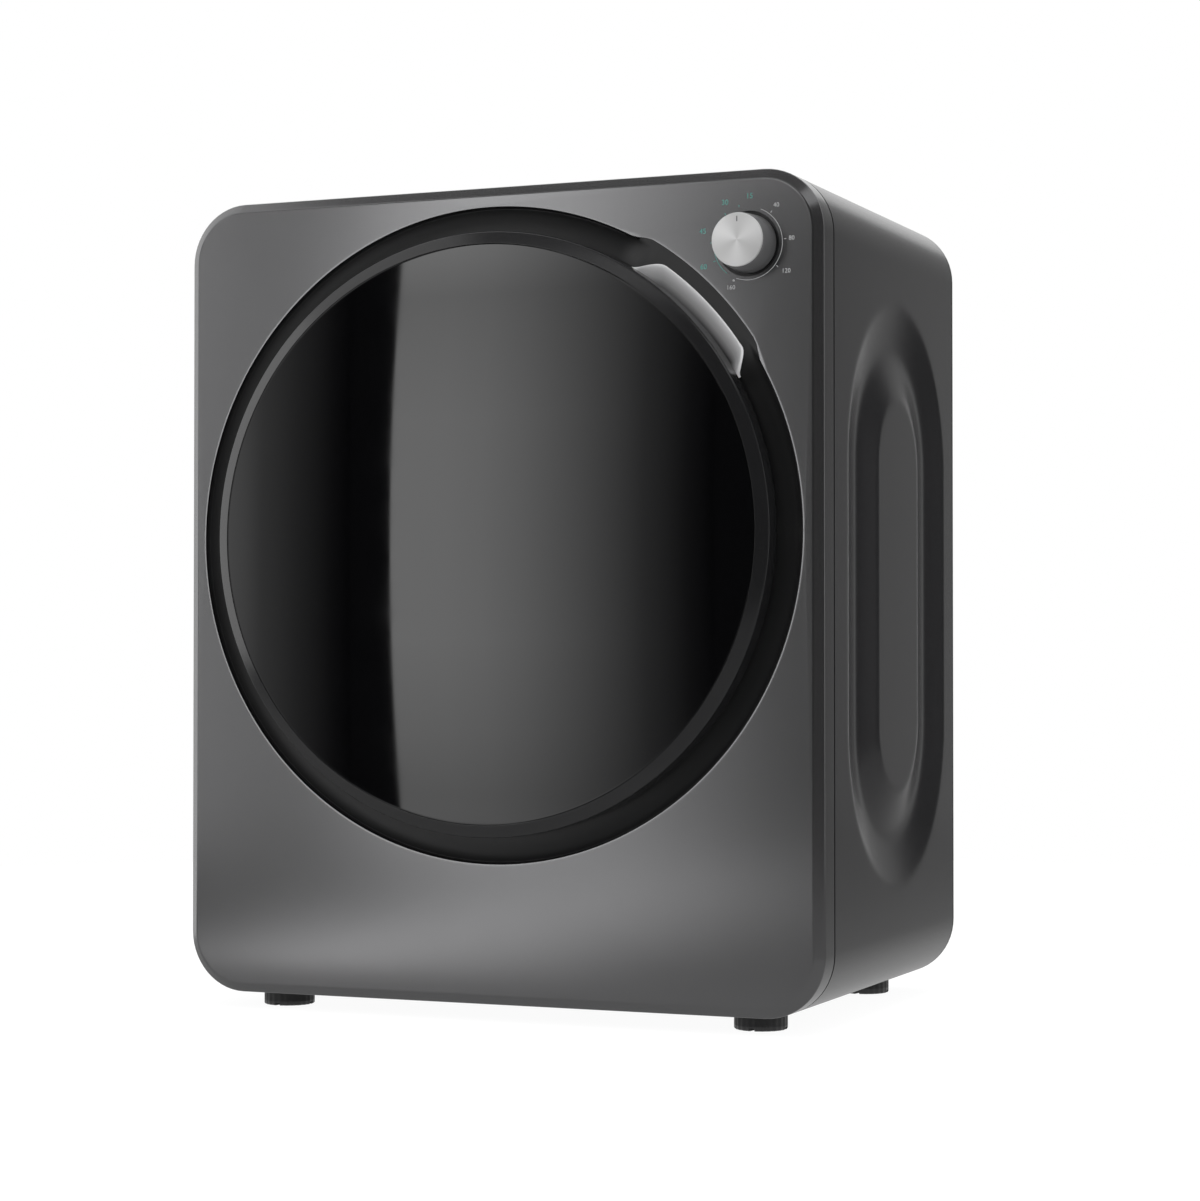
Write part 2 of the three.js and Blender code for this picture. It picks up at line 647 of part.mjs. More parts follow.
const scoopOuter = OPENING_RADIUS - SCOOP_INSET;
const scoopInner = scoopOuter - SCOOP_WIDTH;
const scoopBack = SCOOP_DEPTH + SCOOP_WALL;
const lobeInner = coveOuter - SCOOP_INSET;

// The scoop's plan, drawn in by the given inset all round.
function scoopOutline(inset) {
  const turn = THREE.MathUtils.radToDeg(inset / scoopOuter);
  return arcOutline(scoopInner + inset, scoopOuter - inset, SCOOP_HALF_SPAN - turn, SCOOP_END_ROUND);
}

const lobe = prism(rimOutline(coveOuter), SEAT_GAP, coveBack)
  .subtract(disc(lobeInner, -PAST, coveBack + PAST, RING_STEPS))
  .intersect(prism(arcOutline(MOUTH_RADIUS, coveOuter + LOBE_RISE, LOBE_HALF_SPAN, 0), 0, coveBack));
const latchX = DOOR_RADIUS - LATCH_INSET;
const hookHalf = HOOK_THICKNESS / 2 + HOOK_BARB + CATCH_CLEARANCE;
const hookHole = [latchX - hookHalf, latchX + hookHalf];
const hookHoleHeight = [-HOOK_HEIGHT / 2 - CATCH_CLEARANCE, HOOK_HEIGHT / 2 + CATCH_CLEARANCE];
const switchZ = SWITCH_INSET - DOOR_RADIUS;
const surround = ring(surroundProfile)
  .add(lobe)
  .subtract(prism(scoopOutline(-SEAT_GAP), -PAST, scoopBack))
  .subtract(block(hookHole, [COVE_DEPTH - PAST, coveBack + PAST], hookHoleHeight))
  .subtract(disc(PLUNGER_RADIUS + RUNNING_GAP, COVE_DEPTH - PAST, coveBack + PAST).translate(0, 0, switchZ));
mesh("door_surround", surround, blackMoulding, axis);

// ---- Finger scoop: a grey insert in the surround's lobe, flush with the cove round its rim
const inFrontOfCove = ring([
  [MOUTH_RADIUS, -PAST],
  [lobeInner, -PAST],
  ...cove(coveOuter, COVE_WIDTH, SEAT_GAP, COVE_DEPTH).map(([r, y]) => [Math.min(r, lobeInner), y]),
  [MOUTH_RADIUS, COVE_DEPTH],
]);
const scoopHollow = ring([
  [scoopInner + SCOOP_WALL, -PAST],
  [scoopOuter - SCOOP_WALL, -PAST],
  ...cove(scoopOuter - SCOOP_WALL, SCOOP_WIDTH - 2 * SCOOP_WALL, lipStart, SCOOP_DEPTH),
]).intersect(prism(scoopOutline(SCOOP_WALL), -2 * PAST, SCOOP_DEPTH + PAST));
mesh(
  "finger_scoop",
  prism(scoopOutline(0), SEAT_GAP, scoopBack).subtract(inFrontOfCove).subtract(scoopHollow),
  greyMoulding,
  axis,
);

// ---- Slide ring: felt on the collar, where the drum's front lip turns
const feltStart = BULKHEAD_DEPTH + BULKHEAD_SHEET + SEAT_GAP;
mesh(
  "drum_slide_ring",
  band(COLLAR_RADIUS + SEAT_GAP, FELT_RADIUS, feltStart, FELT_END),
  felt,
  axis,
);

// ---- Door: a ring, the smoked glass in it, a liner behind, an inner window, a seal and a hook
const shelfDepth = GLASS_THICKNESS - DOOR_FRONT_PROUD;
const shelfInner = GLASS_RADIUS - GLASS_SHELF;
const ringInner = DOOR_RADIUS - DOOR_WALL;
const glassSeat = GLASS_RADIUS + SEAT_GAP;
let doorRing = ring([
  [DOOR_RADIUS, DOOR_BACK],
  [ringInner, DOOR_BACK],
  [ringInner, shelfDepth + DOOR_WALL],
  [shelfInner, shelfDepth + DOOR_WALL],
  [shelfInner, shelfDepth],
  [glassSeat, shelfDepth],
  [glassSeat, -DOOR_FRONT_PROUD],
  [DOOR_RADIUS, -DOOR_EDGE_PROUD],
]);
const notchHalf = HINGE_PLATE_HALF_HEIGHT + HINGE_NOTCH_MARGIN;
const notchReach = HINGE_X + HINGE_KNUCKLE_RADIUS + HINGE_NOTCH_MARGIN;
doorRing = doorRing.subtract(
  block([-OPENING_RADIUS, notchReach], [-HINGE_NOTCH_PROUD, DOOR_BACK + PAST], [-notchHalf, notchHalf]),
);
mesh("door_ring", doorRing, blackMoulding, axis);

const glassBack = shelfDepth - SEAT_GAP;
const glassProfile = [];
for (let i = 0; i <= CROWN_STEPS; i++) {
  const share = i / CROWN_STEPS;
  const proud = DOOR_FRONT_PROUD + GLASS_CROWN * (1 - share ** 2);
  glassProfile.push(new THREE.Vector2(GLASS_RADIUS * share, -proud));
}
glassProfile.push(new THREE.Vector2(GLASS_RADIUS, glassBack), new THREE.Vector2(0, glassBack));
mesh("door_glass", solid(new THREE.LatheGeometry(glassProfile, RING_STEPS)), smokedGlass, axis);

const linerRadius = ringInner - SEAT_GAP;
const linerFront = LINER_BACK - LINER_SHEET;
const plugInner = PLUG_RADIUS - LINER_SHEET;
const linerFace = LINER_BACK + SEAT_GAP;
let doorLiner = ring([
  [linerRadius, linerFront],
  [linerRadius, LINER_BACK],
  [PLUG_RADIUS, LINER_BACK],
  [PLUG_RADIUS, PLUG_DEPTH],
  [plugInner - LINER_SHEET, PLUG_DEPTH],
  [plugInner - LINER_SHEET, PLUG_DEPTH - LINER_SHEET],
  [plugInner, PLUG_DEPTH - LINER_SHEET],
  [plugInner, linerFront],
]);
doorLiner = doorLiner.subtract(
  block([-OPENING_RADIUS, notchReach], [linerFront - PAST, LINER_BACK + PAST], [-notchHalf, notchHalf]),
);
mesh("door_liner", doorLiner, greyMoulding, axis);
mesh(
  "door_inner_window",
  disc(
    plugInner - SEAT_GAP,
    PLUG_DEPTH - LINER_SHEET - SEAT_GAP - WINDOW_SHEET,
    PLUG_DEPTH - LINER_SHEET - SEAT_GAP,
    RING_STEPS,
  ),
  smokedGlass,
  axis,
);
const sealOuter = MOUTH_RADIUS + SEAL_OUTER_GAP;
mesh(
  "door_seal",
  band(sealOuter - SEAL_WIDTH, sealOuter, linerFace, COVE_DEPTH - SEAT_GAP),
  rubber,
  axis,
);

const hookX = [latchX - HOOK_THICKNESS / 2, latchX + HOOK_THICKNESS / 2];
const hookZ = [-HOOK_HEIGHT / 2, HOOK_HEIGHT / 2];
mesh(
  "latch_hook",
  block(hookX, [linerFace, HOOK_REACH], hookZ).add(
    block(
      [hookX[0] - HOOK_BARB, hookX[1] + HOOK_BARB],
      [HOOK_REACH - 2 * HOOK_BARB, HOOK_REACH],
      hookZ,
    ),
  ),
  greyMoulding,
  axis,
);
const catchFront = coveBack + SEAT_GAP;
const catchBack = BULKHEAD_DEPTH - SEAT_GAP;
const widen = ([low, high], by) => [low - by, high + by];
mesh(
  "latch_catch",
  block(widen(hookHole, CATCH_WALL), [catchFront, catchBack], widen(hookHoleHeight, CATCH_WALL)).subtract(
    block(hookHole, [catchFront - PAST, catchBack - CATCH_WALL], hookHoleHeight),
  ),
  greyMoulding,
  axis,
);

// ---- Door hinge: an eared bracket on the surround, a steel pin, and a leaf on the door
const pinDepth = -HINGE_PROUD;
const knuckle = (radius, half) => post(radius, -half, half).translate(HINGE_X, pinDepth, 0);
const earHalf = HINGE_LEAF_HALF_HEIGHT + RUNNING_GAP + HINGE_EAR_SHEET;
const plateBack = COVE_DEPTH - SEAT_GAP;
const plateFront = plateBack - HINGE_PLATE_SHEET;
const plateRight = -(sealOuter + RUNNING_GAP * 2);
const plateX = [-DOOR_RADIUS, plateRight];
const earLeg = new THREE.Shape([
  new THREE.Vector2(HINGE_X - HINGE_EAR_NECK / 2, pinDepth),
  new THREE.Vector2(HINGE_X + HINGE_KNUCKLE_RADIUS, pinDepth),
  new THREE.Vector2(plateRight, plateBack),
  new THREE.Vector2(HINGE_X + HINGE_EAR_NECK / 2, plateBack),
]);
const ears = knuckle(HINGE_KNUCKLE_RADIUS, earHalf)
  .add(column(earLeg, -earHalf, earHalf))
  .subtract(
    block(
      [-OPENING_RADIUS, 0],
      [-OPENING_RADIUS, plateFront],
      [HINGE_EAR_SHEET - earHalf, earHalf - HINGE_EAR_SHEET],
    ),
  );
mesh(
  "hinge_bracket",
  ears
    .add(block(plateX, [plateFront, plateBack], [-HINGE_PLATE_HALF_HEIGHT, HINGE_PLATE_HALF_HEIGHT]))
    .subtract(knuckle(HINGE_PIN_RADIUS + SEAT_GAP, earHalf + PAST)),
  zincSteel,
  axis,
);
mesh("hinge_pin", knuckle(HINGE_PIN_RADIUS, earHalf), zincSteel, axis);
const leafFront = linerFront - SEAT_GAP - HINGE_LEAF_SHEET;
mesh(
  "hinge_leaf",
  knuckle(HINGE_KNUCKLE_RADIUS, HINGE_LEAF_HALF_HEIGHT)
    .add(
      block(
        [HINGE_X, HINGE_X + HINGE_LEAF_WIDTH],
        [leafFront, leafFront + HINGE_LEAF_SHEET],
        [-HINGE_LEAF_HALF_HEIGHT, HINGE_LEAF_HALF_HEIGHT],
      ),
    )
    .subtract(knuckle(HINGE_PIN_RADIUS + HINGE_PIN_CLEARANCE, earHalf)),
  zincSteel,
  axis,
);

// ---- Door switch: a plunger that the closed door holds in
const switchFront = coveBack + SEAT_GAP;
const switchBack = switchFront + SWITCH_DEPTH;
const halfSwitch = SWITCH_SIZE / 2;
const switchFloor = switchBack - SWITCH_WALL;
const plungerEnd = switchFloor - PLUNGER_TRAVEL - SEAT_GAP;
mesh(
  "door_switch",
  block([-halfSwitch, halfSwitch], [switchFront, switchBack], [-halfSwitch, halfSwitch])
    .subtract(disc(PLUNGER_RADIUS + SEAT_GAP, switchFront - PAST, switchFloor))
    .translate(0, 0, switchZ),
  whiteCeramic,
  axis,
);
const plunger = disc(PLUNGER_RADIUS, linerFace, plungerEnd);
mesh("switch_plunger", plunger.translate(0, 0, switchZ), greyMoulding, axis);

// ---- Drum: a folded steel shell, a vented back, lifters, and a lint filter at the middle of the back
mesh(
  "drum_shell",
  ring([
    [LIP_RADIUS, LIP_START],
    [LIP_RADIUS + DRUM_SHEET, LIP_START],
    [LIP_RADIUS + DRUM_SHEET, DRUM_FRONT_WALL],
    [DRUM_RADIUS, DRUM_FRONT_WALL],
    [DRUM_RADIUS, DRUM_BACK_DEPTH + DRUM_BACK_SHEET],
    [DRUM_RADIUS - DRUM_SHEET, DRUM_BACK_DEPTH + DRUM_BACK_SHEET],
    [DRUM_RADIUS - DRUM_SHEET, DRUM_FRONT_WALL + DRUM_SHEET],
    [LIP_RADIUS, DRUM_FRONT_WALL + DRUM_SHEET],
  ]),
  stainless,
  axis,
);

// The same hole, many times round the axis.
function holesAround(count, circleRadius, holeRadius, from, to) {
  const holes = [];
  for (let i = 0; i < count; i++) {
    const angle = (i * 2 * Math.PI) / count;
    const hole = disc(holeRadius, from, to, VENT_STEPS);
    holes.push(hole.translate(circleRadius * Math.cos(angle), 0, circleRadius * Math.sin(angle)));
  }
  return holes.reduce((all, hole) => all.add(hole));
}

const drumBackRear = DRUM_BACK_DEPTH + DRUM_BACK_SHEET;
const drumBackCut = [DRUM_BACK_DEPTH - PAST, drumBackRear + PAST];
mesh(
  "drum_back",
  disc(DRUM_RADIUS - DRUM_SHEET - SEAT_GAP, DRUM_BACK_DEPTH, drumBackRear, RING_STEPS)
    .subtract(holesAround(INNER_VENTS, INNER_VENT_CIRCLE, INNER_VENT_RADIUS, ...drumBackCut))
    .subtract(holesAround(OUTER_VENTS, OUTER_VENT_CIRCLE, OUTER_VENT_RADIUS, ...drumBackCut)),
  stainless,
  axis,
);

const lifterOuter = (DRUM_RADIUS - DRUM_SHEET) * Math.cos(Math.PI / RING_STEPS) - SEAT_GAP;
const lifterSeat = Math.sqrt(lifterOuter ** 2 - (LIFTER_BASE / 2) ** 2);
const lifterOutline = new THREE.Shape([
  new THREE.Vector2(-LIFTER_BASE / 2, -lifterSeat),
  new THREE.Vector2(LIFTER_BASE / 2, -lifterSeat),
  new THREE.Vector2(LIFTER_TOP / 2, LIFTER_HEIGHT - lifterSeat),
  new THREE.Vector2(-LIFTER_TOP / 2, LIFTER_HEIGHT - lifterSeat),
]);
for (let i = 0; i < LIFTERS; i++) {
  const lifter = prism(lifterOutline, DRUM_FRONT_WALL + LIFTER_END_GAP, DRUM_BACK_DEPTH - LIFTER_END_GAP);
  const placed = mesh("drum_lifter_" + (i + 1), lifter, greyMoulding, axis);
  placed.rotation.y = (i * 2 * Math.PI) / LIFTERS;
}

const filterBack = DRUM_BACK_DEPTH - SEAT_GAP;
const filterFront = filterBack - FILTER_DEPTH;
const filterCut = [filterFront - PAST, filterFront + FILTER_RIM + PAST];
mesh(
  "lint_filter_cover",
  ring(
    [
      [FILTER_RADIUS, filterBack],
      [FILTER_RADIUS - FILTER_RIM, filterBack],
      [FILTER_RADIUS - FILTER_RIM * 2, filterFront + FILTER_RIM],
      [SHAFT_RADIUS, filterFront + FILTER_RIM],
      [SHAFT_RADIUS, filterFront],
      [FILTER_RADIUS - FILTER_RIM, filterFront],
    ],
    MIDDLE_STEPS,
  ).subtract(holesAround(FILTER_SLOTS, FILTER_SLOT_CIRCLE, FILTER_SLOT_RADIUS, ...filterCut)),
  greyMoulding,
  axis,
);
mesh(
  "lint_filter_screen",
  disc(FILTER_RADIUS - 2 * FILTER_RIM - SEAT_GAP, filterBack - SCREEN_SHEET, filterBack, MIDDLE_STEPS),
  felt,
  axis,
);

const flangeStart = drumBackRear + SEAT_GAP;
mesh(
  "drum_shaft",
  disc(SHAFT_FLANGE_RADIUS, flangeStart, flangeStart + SHAFT_FLANGE_SHEET).add(
    disc(SHAFT_RADIUS, flangeStart, flangeStart + SHAFT_LENGTH),
  ),
  zincSteel,
  axis,
);

// ---- Rear bulkhead with the drum's bearing
const bearingStart = REAR_BULKHEAD_DEPTH - BEARING_WIDTH / 2;
const bearingEnd = bearingStart + BEARING_WIDTH;
const sleeveInner = BEARING_RADIUS + SEAT_GAP;
const sleeveOuter = sleeveInner + BEARING_HOUSING_WALL;
mesh(
  "drum_bearing",
  band(SHAFT_RADIUS + SEAT_GAP, BEARING_RADIUS, bearingStart, bearingEnd, SMALL_STEPS),
  zincSteel,
  axis,
);
mesh(
  "bearing_housing",
  ring(
    [
      [sleeveInner, bearingStart],
      [sleeveOuter, bearingStart],
      [sleeveOuter, BACK_OF_BULKHEAD],
      [BEARING_FLANGE_RADIUS, BACK_OF_BULKHEAD],
      [BEARING_FLANGE_RADIUS, BACK_OF_BULKHEAD + BEARING_FLANGE_SHEET],
      [sleeveInner, BACK_OF_BULKHEAD + BEARING_FLANGE_SHEET],
    ],
    SMALL_STEPS,
  ),
  zincSteel,
  axis,
);
const motorPlace = [MOTOR_X, 0, -MOTOR_BELOW_AXIS];
const bulkheadCut = [REAR_BULKHEAD_DEPTH - PAST, REAR_BULKHEAD_DEPTH + BULKHEAD_SHEET + PAST];
mesh(
  "rear_bulkhead",
  prism(bodyOutline(WRAP_SHEET + SEAT_GAP), REAR_BULKHEAD_DEPTH, REAR_BULKHEAD_DEPTH + BULKHEAD_SHEET)
    .subtract(disc(sleeveOuter + SEAT_GAP, ...bulkheadCut).translate(0, 0, AXIS_Z))
    .subtract(
      holesAround(INNER_VENTS, INNER_VENT_CIRCLE, INNER_VENT_RADIUS, ...bulkheadCut).translate(0, 0, AXIS_Z),
    )
    .subtract(disc(MOTOR_SHAFT_RADIUS + MOTOR_SHAFT_CLEARANCE, ...bulkheadCut).translate(MOTOR_X, 0, MOTOR_Z))
    .subtract(prism(heaterOutline(-HEATER_SHEET), ...bulkheadCut))
    .subtract(dentRoom)
    .subtract(dentRoom.mirror([1, 0, 0]))
    .subtract(block([-WIDTH, WIDTH], bulkheadCut, [0, BASE_TOP + SEAT_GAP])),
  zincSteel,
  cabinet,
);

// ---- Fan: a bladed wheel that is its own pulley, on a fixed shaft, in a housing with an outlet
const hubBore = FAN_SHAFT_RADIUS + SEAT_GAP;
const fanDisc = FAN_PULLEY_START - FAN_SHEET;
const bladeFront = fanDisc - FAN_BLADE_DEPTH;
let fanWheel = band(hubBore, FAN_RADIUS, fanDisc, FAN_PULLEY_START, MIDDLE_STEPS)
  .add(band(hubBore, FAN_PULLEY_RADIUS, fanDisc, FAN_PULLEY_END, MIDDLE_STEPS))
  .add(band(hubBore, FAN_HUB_RADIUS, bladeFront, FAN_PULLEY_START, SMALL_STEPS));
for (let i = 0; i < FAN_BLADES; i++) {
  const blade = block(
    [FAN_BLADE_START, FAN_RADIUS - FAN_BLADE_SHEET],
    [bladeFront, fanDisc + FAN_SHEET / 2],
    [-FAN_BLADE_SHEET / 2, FAN_BLADE_SHEET / 2],
  );
  fanWheel = fanWheel.add(blade.rotate([0, (i * 360) / FAN_BLADES, 0]));
}
mesh("fan_wheel", fanWheel, greyMoulding, axis);

const coverInside = COVER_END - COVER_SHEET;
const fanShaftEnd = coverInside - SEAT_GAP;
mesh(
  "fan_shaft",
  disc(FAN_SHAFT_RADIUS, bladeFront + FAN_SHEET, fanShaftEnd).add(
    disc(FAN_SHAFT_FLANGE_RADIUS, fanShaftEnd - FAN_SHAFT_FLANGE_SHEET, fanShaftEnd),
  ),
  zincSteel,
  axis,
);

// A loop round two pulleys, as an outline: two arcs joined by their outer tangents.
function beltLoop(radiusA, bx, bz, radiusB) {
  const heading = Math.atan2(bz, bx);
  const spread = Math.acos((radiusA - radiusB) / Math.hypot(bx, bz));
  const outline = new THREE.Shape();
  outline.absarc(0, 0, radiusA, heading + spread, heading - spread + 2 * Math.PI);
  outline.absarc(bx, bz, radiusB, heading - spread, heading + spread);
  return outline;
}

function beltBetween(radiusA, radiusB, from, to) {
  const loop = (grow) => beltLoop(radiusA + grow, MOTOR_X, -MOTOR_BELOW_AXIS, radiusB + grow);
  return prism(loop(RUNNING_GAP + BELT_THICKNESS), from, to, BELT_STEPS).subtract(
    prism(loop(RUNNING_GAP), from - PAST, to + PAST, BELT_STEPS),
  );
}

const housingFront = BACK_OF_BULKHEAD;
const housingInside = housingFront + FAN_HOUSING_SHEET;
const housingBack = REAR_FACE_INSIDE - SEAT_GAP;
const housingSkin = (inset, from, to) =>
  disc(FAN_HOUSING_RADIUS - inset, from, to, MIDDLE_STEPS).add(
    block(
      [0, OUTLET_REACH - inset],
      [from, to],
      [FAN_HOUSING_RADIUS - OUTLET_HEIGHT + inset, FAN_HOUSING_RADIUS - inset],
    ),
  );
const beltSlot = beltLoop(
  FAN_PULLEY_RADIUS + BELT_CLEARANCE,
  MOTOR_X,
  -MOTOR_BELOW_AXIS,
  FAN_DRIVE_PULLEY_RADIUS + BELT_CLEARANCE,
);
mesh(
  "fan_housing",
  housingSkin(0, housingFront, housingBack)
    .subtract(housingSkin(FAN_HOUSING_SHEET, housingInside, housingBack + PAST))
    .subtract(disc(FAN_INLET_RADIUS, housingFront - PAST, housingInside + PAST, MIDDLE_STEPS))
    .subtract(prism(beltSlot, FAN_PULLEY_START - BELT_THICKNESS, housingBack + PAST)),
  greyMoulding,
  axis,
);
mesh(
  "fan_belt",
  beltBetween(FAN_PULLEY_RADIUS, FAN_DRIVE_PULLEY_RADIUS, FAN_PULLEY_START + RUNNING_GAP, FAN_PULLEY_END),
  rubber,
  axis,
);

// ---- Rear cover over the fan, with the exhaust collar
const exhaustZ = AXIS_Z + FAN_HOUSING_RADIUS - OUTLET_HEIGHT / 2;
const exhaustBore = EXHAUST_RADIUS - EXHAUST_WALL;
const exhaustHole = disc(exhaustBore, coverInside - PAST, COVER_END + PAST, MIDDLE_STEPS);
mesh(
  "rear_cover",
  prism(coverOutline(0), COVER_START, COVER_END)
    .subtract(prism(coverOutline(COVER_SHEET), COVER_START - PAST, coverInside))
    .subtract(exhaustHole.translate(EXHAUST_X, 0, exhaustZ)),
  blackMoulding,
  cabinet,
);
const collarStart = COVER_END + SEAT_GAP;
mesh(
  "exhaust_collar",
  ring(
    [
      [exhaustBore, collarStart],
      [EXHAUST_RADIUS + EXHAUST_FLANGE, collarStart],
      [EXHAUST_RADIUS + EXHAUST_FLANGE, collarStart + EXHAUST_FLANGE_SHEET],
      [EXHAUST_RADIUS, collarStart + EXHAUST_FLANGE_SHEET],
      [EXHAUST_RADIUS, CABINET_DEPTH + REAR_PROUD],
      [exhaustBore, CABINET_DEPTH + REAR_PROUD],
    ],
    MIDDLE_STEPS,
  ).translate(EXHAUST_X, 0, exhaustZ),
  blackMoulding,
  cabinet,
);

// ---- Heater: a ceramic element in a duct from the intake grille to the drum's outer vents
const ductFront = BACK_OF_BULKHEAD;
const ductBack = REAR_FACE_INSIDE - SEAT_GAP;
mesh(
  "heater_housing",
  prism(heaterOutline(0), ductFront, ductBack).subtract(
    prism(heaterOutline(-HEATER_SHEET), ductFront - PAST, ductBack + PAST),
  ),
  zincSteel,
  cabinet,
);

// A plate with evenly spaced level slots through it.
function slottedPlate(width, height, from, to, slots, bar) {
  const outline = new THREE.Shape([
    new THREE.Vector2(-width / 2, -height / 2),
    new THREE.Vector2(width / 2, -height / 2),
    new THREE.Vector2(width / 2, height / 2),
    new THREE.Vector2(-width / 2, height / 2),
  ]);
  const pitch = (height - bar) / slots;
  for (let i = 0; i < slots; i++) {
    const low = bar - height / 2 + i * pitch;
    const side = width / 2 - bar;
    outline.holes.push(
      new THREE.Path([
        new THREE.Vector2(-side, low),
        new THREE.Vector2(-side, low + pitch - bar),
        new THREE.Vector2(side, low + pitch - bar),
        new THREE.Vector2(side, low),
      ]),
    );
  }
  return prism(outline, from, to);
}

const elementInset = 2 * (HEATER_SHEET + 2 * SEAT_GAP);
const elementFront = (ductFront + ductBack - ELEMENT_DEPTH) / 2;
mesh(
  "heater_element",
  slottedPlate(
    HEATER_WIDTH - elementInset,
    HEATER_HEIGHT - elementInset,
    elementFront,
    elementFront + ELEMENT_DEPTH,
    ELEMENT_SLOTS,
    ELEMENT_BAR,
  ).translate(HEATER_X, 0, heaterZ),
  whiteCeramic,
  cabinet,
);
const cutoutTop = heaterZ - HEATER_HEIGHT / 2 - SEAT_GAP;
mesh(
  "thermal_cutout",
  post(CUTOUT_RADIUS, cutoutTop - CUTOUT_HEIGHT, cutoutTop).translate(HEATER_X, elementFront, 0),
  blackMoulding,
  cabinet,
);
mesh(
  "intake_grille",
  slottedPlate(
    HEATER_WIDTH + 2 * GRILLE_MARGIN,
    HEATER_HEIGHT + 2 * GRILLE_MARGIN,
    CABINET_DEPTH + SEAT_GAP,
    CABINET_DEPTH + SEAT_GAP + GRILLE_SHEET,
    GRILLE_SLOTS,
    GRILLE_BAR,
  ).translate(HEATER_X, 0, heaterZ),
  blackMoulding,
  cabinet,
);

// ---- Motor on its bracket, with a pulley for the drum in front and one for the fan behind
const motorEnd = MOTOR_START + MOTOR_LENGTH;
const motorBore = MOTOR_SHAFT_RADIUS + SEAT_GAP;
mesh(
  "drive_motor",
  ring(
    [
      [motorBore, MOTOR_START],
      [MOTOR_RADIUS - MOTOR_END_STEP, MOTOR_START],
      [MOTOR_RADIUS, MOTOR_START + MOTOR_END_STEP],
      [MOTOR_RADIUS, motorEnd - MOTOR_END_STEP],
      [MOTOR_RADIUS - MOTOR_END_STEP, motorEnd],
      [motorBore, motorEnd],
    ],
    SMALL_STEPS,
  ).translate(...motorPlace),
  motorPaint,
  axis,
);
mesh(
  "motor_shaft",
  disc(MOTOR_SHAFT_RADIUS, MOTOR_SHAFT_FRONT, FAN_PULLEY_END).translate(...motorPlace),
  zincSteel,
  axis,
);

function pulley(radius, start, width) {
  const flange = radius + PULLEY_FLANGE;
  const end = start + width;
  return ring(
    [
      [motorBore, start - PULLEY_FLANGE_SHEET],
      [flange, start - PULLEY_FLANGE_SHEET],
      [flange, start],
      [radius, start],
      [radius, end],
      [motorBore, end],
    ],
    SMALL_STEPS,
  ).translate(...motorPlace);
}

mesh(
  "drum_drive_pulley",
  pulley(DRUM_PULLEY_RADIUS, DRUM_BELT_START - RUNNING_GAP, DRUM_BELT_WIDTH + 2 * RUNNING_GAP),
  zincSteel,
  axis,
);
mesh(
  "fan_drive_pulley",
  pulley(FAN_DRIVE_PULLEY_RADIUS, FAN_PULLEY_START, FAN_PULLEY_WIDTH),
  zincSteel,
  axis,
);
mesh(
  "drum_belt",
  beltBetween(DRUM_RADIUS, DRUM_PULLEY_RADIUS, DRUM_BELT_START, DRUM_BELT_START + DRUM_BELT_WIDTH),
  rubber,
  axis,
);

const bracketFoot = [BASE_TOP + SEAT_GAP, BRACKET_TOP];
const bracketX = [MOTOR_X - BRACKET_WIDTH / 2, MOTOR_X + BRACKET_WIDTH / 2];
const saddleTop = MOTOR_Z - SADDLE_DROP;
const saddle = disc(MOTOR_RADIUS + SEAT_GAP, MOTOR_START - PAST, motorEnd + PAST);
let bracket = block(bracketX, [MOTOR_START, motorEnd], bracketFoot);
for (const start of [MOTOR_START + BRACKET_INSET, motorEnd - BRACKET_INSET - BRACKET_SHEET]) {
  bracket = bracket.add(block(bracketX, [start, start + BRACKET_SHEET], [bracketFoot[0], saddleTop]));
}
mesh(
  "motor_bracket",
  bracket.subtract(saddle.translate(MOTOR_X, 0, MOTOR_Z)),
  zincSteel,
  cabinet,
);

// ---- Run capacitor, strapped to the base
const capacitorZ = BASE_TOP + SEAT_GAP + CAPACITOR_RADIUS;
const capacitorEnd = CAPACITOR_START + CAPACITOR_LENGTH;
mesh(
  "run_capacitor",
  disc(CAPACITOR_RADIUS, CAPACITOR_START, capacitorEnd).translate(CAPACITOR_X, 0, capacitorZ),
  greyMoulding,
  cabinet,
);
const clipInner = CAPACITOR_RADIUS + SEAT_GAP;
const clipOuter = clipInner + CLIP_SHEET;
const clipStart = (CAPACITOR_START + capacitorEnd - CLIP_WIDTH) / 2;
const clipReach = [clipStart, clipStart + CLIP_WIDTH];
const clipCut = widen(clipReach, PAST);
const clipTab = clipOuter + CLIP_TAB;
const clipFoot = -CAPACITOR_RADIUS;
mesh(
  "capacitor_clip",
  disc(clipOuter, ...clipReach)
    .add(block([-clipOuter, clipOuter], clipReach, [clipFoot, 0]))
    .add(block([-clipTab, clipTab], clipReach, [clipFoot, clipFoot + CLIP_SHEET]))
    .subtract(disc(clipInner, ...clipCut))
    .subtract(block([-clipInner, clipInner], clipCut, [-clipTab, 0]))
    .subtract(block([-clipOuter, clipOuter], clipCut, [-clipTab, clipFoot]))
    .translate(CAPACITOR_X, 0, capacitorZ),
  zincSteel,
  cabinet,
);

